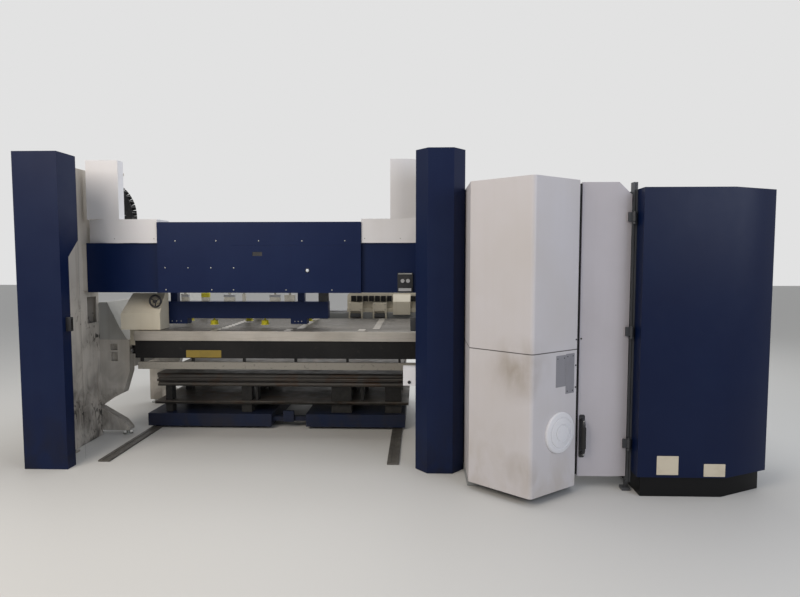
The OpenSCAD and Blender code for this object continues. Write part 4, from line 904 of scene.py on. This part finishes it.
@dataclass
class Portal:
    """Uprights, towers, beam covers, chain and operator's buttons."""

    cover_front: float = -0.75
    chain_top: float = 2.268
    chain_foot: float = 1.36
    bolt_columns: tuple[float, ...] = (-2.58, -2.47, 0.55, 0.60)
    end_screws: tuple[float, ...] = (-2.2, -1.87, -0.13, 0.16)
    # Height of each row, and where its screws sit along X
    screw_rows: tuple[tuple[float, tuple[float, ...]], ...] = (
        (1.705, (-1.689, -1.35, -0.997, -0.642, -0.291)),
        (1.485, (-1.777, -1.586, -1.396, -1.206)),
        (1.304, (-1.774, -1.392, -1.21, -0.777, -0.399)),
    )
    eye_depth: float = 38 * MM
    # X and Y of each tower's eye, and the way along X in which it looks
    eyes: tuple[tuple[float, float, int], ...] = ((-2.2865, -1.285, 1), (0.2881, -1.2, -1))

    def build(self) -> None:
        """Dress the portal and add its links, bolts, screws, lamp, plates and light barrier."""
        dress("portal_frame", DIRTY_WHITE, 2 * MM)
        for node in ("left_tower_cover", "right_tower_cover"):
            dress(node, TOWER_BLUE, 1.4 * MM)
        for node in ("beam_centre_cover", "beam_side_covers"):
            dress(node, BLUE, 1.2 * MM)
        for node in ("corner_covers", "upper_covers", "key_box"):
            dress(node, WHITE, 1.2 * MM)
        dress("energy_chain", BLACK_NYLON, 0)
        self.chain_links()
        dress("lift_guides", MACHINE_BLACK, 1.5 * MM)
        dress("button_panel", BLACK_ABS, 1 * MM)
        dress("upper_button", GREY_ABS, 1 * MM)
        dress("lower_button", GREY_ABS, 1 * MM)
        dress("key_lock", BLACK_ABS, 0.4 * MM)
        self.foot_bolts()
        self.cover_screws()
        self.beam_screws()
        self.beam_lamp()
        self.slot_plate()
        self.panel_parts()
        self.light_barrier()

    def chain_links(self) -> None:
        """The energy chain's links, copied from the CAD chain, which is then hidden."""
        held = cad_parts["energy_chain"]
        links = placed("chain_links", held.data.copy())
        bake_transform(links)
        join_points(links)
        links.modifiers.new("flat_faces", "WEIGHTED_NORMAL").weight = NORMAL_WEIGHT
        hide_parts("energy_chain")
        log.info("chain_links: %d faces from machine to suction", len(links.data.polygons))

    def foot_bolts(self) -> None:
        """Anchor bolts through the uprights' foot plates."""
        work = Workpiece("anchor_bolts")
        for x in self.bolt_columns:
            for y in (-1.04, -0.96):
                place = facing((x, y, 0.014), (0, 0, 1), (0, 1, 0))
                work.turned([(15 * MM, 0), (15 * MM, 2.5 * MM), (14 * MM, 3 * MM)], place)
                work.turned([(9 * MM, 3 * MM), (9 * MM, 12 * MM), (8 * MM, 13 * MM)], place, 6)
                work.turned([(5 * MM, 13 * MM), (5 * MM, 26 * MM), (4 * MM, 27 * MM)], place)
        work.piece("machine", ZINC)

    def cover_screws(self) -> None:
        """Screws that hold the white covers on the beam's ends."""
        work = Workpiece("cover_screws")
        for x in self.end_screws:
            work.socket_screw(4.5 * MM, facing((x, -0.735, 1.725), (0, -1, 0)))
        work.piece("machine", ZINC)

    def beam_screws(self) -> None:
        """Screws in three rows on the centre cover."""
        work = Workpiece("beam_screws")
        for z, row in self.screw_rows:
            for x in row:
                work.socket_screw(5.5 * MM, facing((x, self.cover_front, z), (0, -1, 0)))
        work.piece("machine", ZINC)

    def slot_plate(self) -> None:
        """The dark plate that closes the centre cover's slot from behind."""
        work = Workpiece("slot_plate")
        work.plate(0.104, 53 * MM, 2 * MM, facing((-1.011, -0.745, 1.5995), (0, -1, 0)))
        work.piece("machine", BLACK_ABS)

    def beam_lamp(self) -> None:
        """A small opal lamp on the centre cover, in its black ring."""
        place = facing((-0.598, self.cover_front, 1.464), (0, -1, 0))
        ring = Workpiece("beam_lamp_ring")
        ring.turned([(18 * MM, 0), (18 * MM, 4 * MM), (15 * MM, 6 * MM)], place, 32)
        ring.piece("machine", BLACK_ABS)
        lens = Workpiece("beam_lamp")
        profile = [(13 * MM * math.cos(a), 5.5 * MM + 9 * MM * math.sin(a)) for a in (0, 0.4, 0.8, 1.2, 1.5)]
        lens.turned(profile, place, 32)
        lens.piece("machine", LENS_WHITE)

    def panel_parts(self) -> None:
        """The button panel's bright top strip and its bare plate."""
        strip = Workpiece("panel_strip")
        strip.plate(0.112, 9 * MM, 3 * MM, facing((0.199, -0.73, 1.437), (0, -1, 0)), 2 * MM)
        strip.piece("machine", ZINC)
        plate = Workpiece("panel_plate")
        plate.plate(0.104, 24 * MM, 1 * MM, facing((0.198, -0.744, 1.308), (0, -1, 0)), 2 * MM)
        plate.piece("machine", GREY_ABS)

    def light_barrier(self) -> None:
        """The light barrier's eye on the inner side of each tower."""
        body = Workpiece("light_barrier_bodies")
        eye = Workpiece("light_barrier_eyes")
        for x, y, side in self.eyes:
            body.plate(34 * MM, 0.104, self.eye_depth, facing((x, y, 1.077), (side, 0, 0)), 4 * MM)
            front = x + side * self.eye_depth
            eye.plate(20 * MM, 0.08, 1 * MM, facing((front, y, 1.077), (side, 0, 0)), 3 * MM)
        body.piece("machine", BLACK_ABS)
        eye.piece("machine", DARK_GLASS)


@dataclass
class SuctionFrame:
    """The lifting bar with its fittings and cups."""

    front: float = -0.435
    foot_screws: tuple[float, ...] = (-1.865, -1.825, -1.785, -0.775, -0.745, -0.715)
    # Middle along X, and width, of each cap
    caps: tuple[tuple[float, float], ...] = ((-1.761, 0.064), (-1.364, 0.096), (-0.958, 0.094))

    def build(self) -> None:
        """Dress bar, fittings and cups, and add screws, valve, caps and block."""
        dress("suction_frame", BLUE, 1.5 * MM)
        dress("suction_fittings", PORT_METAL, 1 * MM)
        dress("suction_cups", YELLOW_SILICONE, 0)
        work = Workpiece("foot_block_screws")
        for x in self.foot_screws:
            work.socket_screw(4.5 * MM, facing((x, self.front, 1.012), (0, -1, 0)))
        work.piece("suction", ZINC)
        valve = Workpiece("yellow_valve")
        valve.plate(70 * MM, 40 * MM, 38 * MM, self.on_top(-1.578, 1.22), 4 * MM)
        valve.piece("suction", YELLOW_SILICONE)
        caps = Workpiece("vacuum_caps")
        for x, wide in self.caps:
            caps.plate(wide, 40 * MM, 22 * MM, self.on_top(x, 1.222), 4 * MM)
        caps.piece("suction", GREY_ABS)
        block = Workpiece("vacuum_block")
        block.plate(0.084, 0.07, 0.085, self.on_top(-0.526, 1.185), 5 * MM)
        block.piece("suction", BLACK_ABS)

    def on_top(self, x: float, z: float) -> Matrix:
        """A place facing up over the bar's middle line."""
        return facing((x, -0.385, z), (0, 0, 1), (0, 1, 0))


@dataclass
class Table:
    """The moving table, its brushes, guide and rails."""

    def build(self) -> None:
        """Dress the table and add the bare plate on its front beam."""
        for node in ("left_table_top", "right_table_top"):
            dress(node, TABLE_PLATE, 0.8 * MM)
        for node in ("left_table_frame", "right_table_frame"):
            dress(node, TABLE_BLACK, 1.5 * MM)
        dress("table_brushes", BRUSH_HAIR, 0)
        dress("coordinate_beam", MACHINE_GREY, 2 * MM)
        dress("guide_rails", RAIL_X_STEEL, 1 * MM)
        dress("linear_rails", RAIL_Y_STEEL, 1 * MM)
        for node in ("left_rail_frame", "right_rail_frame"):
            dress(node, FRAME_WHITE, 2 * MM)
        dress("levelling_feet", ZINC, 1 * MM)
        dress("left_end_cover", CREAM, 1.2 * MM)
        dress("rail_cover", DUCT_GREY, 2 * MM)
        dress("hand_wheel", BLACK_ABS, 0)
        plate = Workpiece("beam_plate")
        plate.plate(0.3, 0.062, 1 * MM, facing((-1.507, -0.656, 0.757), (0, -1, 0)), 3 * MM)
        plate.piece("table", PLATE_YELLOW)


@dataclass
class Carriage:
    """The carriage with its tool cassettes and clamps."""

    clamps: tuple[float, ...] = (-0.339, -0.09)
    screw_offset: float = 0.055

    def build(self) -> None:
        """Dress the carriage, cassettes and clamps."""
        dress("carriage", CREAM, 1.5 * MM)
        dress("tool_cassettes", MACHINE_BLACK, 0.8 * MM)
        dress("clamp_bodies", CREAM, 1.2 * MM)
        for node in ("left_clamp_jaw", "right_clamp_jaw"):
            dress(node, MACHINE_BLACK, 0.8 * MM)
        work = Workpiece("clamp_screws")
        for middle in self.clamps:
            for dx in (-self.screw_offset, self.screw_offset):
                for z in (1.04, 1.09):
                    work.socket_screw(5 * MM, facing((middle + dx, 0.488, z), (0, -1, 0)))
        work.piece("carriage", ZINC)


@dataclass
class SheetCart:
    """The cart below the table, its wheels, rails and load."""

    def build(self) -> None:
        """Dress the cart and its load."""
        dress("floor_rails", TRACK_STEEL, 1 * MM)
        dress("cart_frame", CART_BLUE, 1.5 * MM)
        for node in ("front_wheels", "rear_wheels"):
            dress(node, SHAFT_STEEL, 1 * MM)
        dress("spacer_blocks", RUBBER_BLOCK, 2 * MM)
        dress("sheet_stack", STACK_STEEL, 0)


@dataclass(frozen=True)
class Lamp:
    """A square soft lamp.

    Attributes:
        name: the lamp's name.
        place: where it hangs, in metres.
        size: length of its side, in metres.
        power: its power in watts.
        tone: the colour of its light.
        mirrored: whether glossy surfaces show it.
    """

    name: str
    place: Point
    size: float
    power: float
    tone: str
    mirrored: bool = True


@dataclass
class Studio:
    """Pale floor, soft lamps and the camera at the photograph's place."""

    camera_place: Point = (0.305, -5.47, 1.55)
    pitch: float = math.radians(3.80)
    yaw: float = math.radians(1.78)
    lens: float = 26.1
    floor_size: float = 60.0
    floor_colour: str = "#c9c9c7"
    sky: str = "#f2f3f5"
    sky_strength: float = 0.42
    backdrop: str = "#e2e2e2"
    machine_middle: Point = (0.0, -0.5, 0.9)
    lamps: tuple[Lamp, ...] = (
        Lamp("key_lamp", (-3.5, -5.5, 4.6), 3.5, 230.0, "#fff3e4"),
        Lamp("fill_lamp", (4.6, -5.0, 3.2), 3.0, 95.0, "#e8efff"),
        Lamp("top_lamp", (0.0, 0.4, 6.0), 5.0, 165.0, "#ffffff"),
        Lamp("rear_lamp", (1.5, 6.0, 4.0), 4.0, 170.0, "#ffffff", mirrored=False),
    )

    def build(self) -> None:
        """Set up floor, light and camera."""
        self.floor()
        self.world()
        for lamp in self.lamps:
            self.hang(lamp)
        self.camera()

    def floor(self) -> None:
        """A plain pale floor just under the machine."""
        half = self.floor_size / 2
        data = bpy.data.meshes.new("floor")
        corners = [(-half, -half), (half, -half), (half, half), (-half, half)]
        data.from_pydata([(x, y, -1 * MM) for x, y in corners], [], [(0, 1, 2, 3)])
        obj = placed("floor", data)
        s = Surface("studio_floor")
        data.materials.append(s.finish(linear(self.floor_colour), 0.6))

    def world(self) -> None:
        """Soft light from all round, and a pale background for what the camera sees."""
        world = bpy.data.worlds.new("studio")
        bpy.context.scene.world = world
        world.use_nodes = True
        tree = world.node_tree
        tree.nodes.clear()
        path = add_node(tree, "LightPath")
        kinds = ("Camera", "Glossy", "Transmission")
        camera, glossy, clear = (path.outputs[f"Is {kind} Ray"] for kind in kinds)
        seen = add_node(tree, "Math", {0: camera, 1: glossy}, operation="MAXIMUM")
        seen = add_node(tree, "Math", {0: seen.outputs[0], 1: clear}, operation="MAXIMUM")
        light = add_node(tree, "Background", {"Color": linear(self.sky), "Strength": self.sky_strength})
        back = add_node(tree, "Background", {"Color": linear(self.backdrop), "Strength": 1.0})
        both = add_node(tree, "MixShader", {0: seen.outputs[0], 1: light.outputs[0], 2: back.outputs[0]})
        add_node(tree, "OutputWorld", {"Surface": both.outputs[0]})

    def hang(self, lamp: Lamp) -> None:
        """Hang a lamp, turned to the machine's middle.

        Args:
            lamp: the lamp to hang.
        """
        data = bpy.data.lights.new(lamp.name, "AREA")
        data.size = lamp.size
        data.energy = lamp.power
        data.color = linear(lamp.tone)[:3]
        obj = placed(lamp.name, data)
        obj.location = lamp.place
        obj.visible_glossy = lamp.mirrored
        look = Vector(self.machine_middle) - Vector(lamp.place)
        obj.rotation_euler = look.to_track_quat("-Z", "Y").to_euler()

    def camera(self) -> None:
        """The camera where the photograph was taken from."""
        data = bpy.data.cameras.new("camera")
        data.lens = self.lens
        data.sensor_width = 36.0
        data.sensor_fit = "HORIZONTAL"
        data.clip_end = 200.0
        obj = placed("camera", data)
        obj.location = self.camera_place
        obj.rotation_euler = (math.pi / 2 - self.pitch, 0, self.yaw)
        bpy.context.scene.camera = obj


class Part(Protocol):
    """What the studio and every sub-assembly have in common."""

    def build(self) -> None:
        """Dress the part's CAD nodes and add what belongs to it."""


def main() -> None:
    """Build the studio, then each sub-assembly in order."""
    logging.basicConfig(level=logging.INFO, format="%(message)s")
    bpy.context.scene.view_settings.view_transform = "Standard"
    parts: list[Callable[[], Part]] = [
        Studio, Press, HeadHousing, ServiceDoor, ControlCabinet,
        Portal, SuctionFrame, Table, Carriage, SheetCart,
    ]
    for part in parts:
        part().build()


if __name__ == "__main__":
    main()
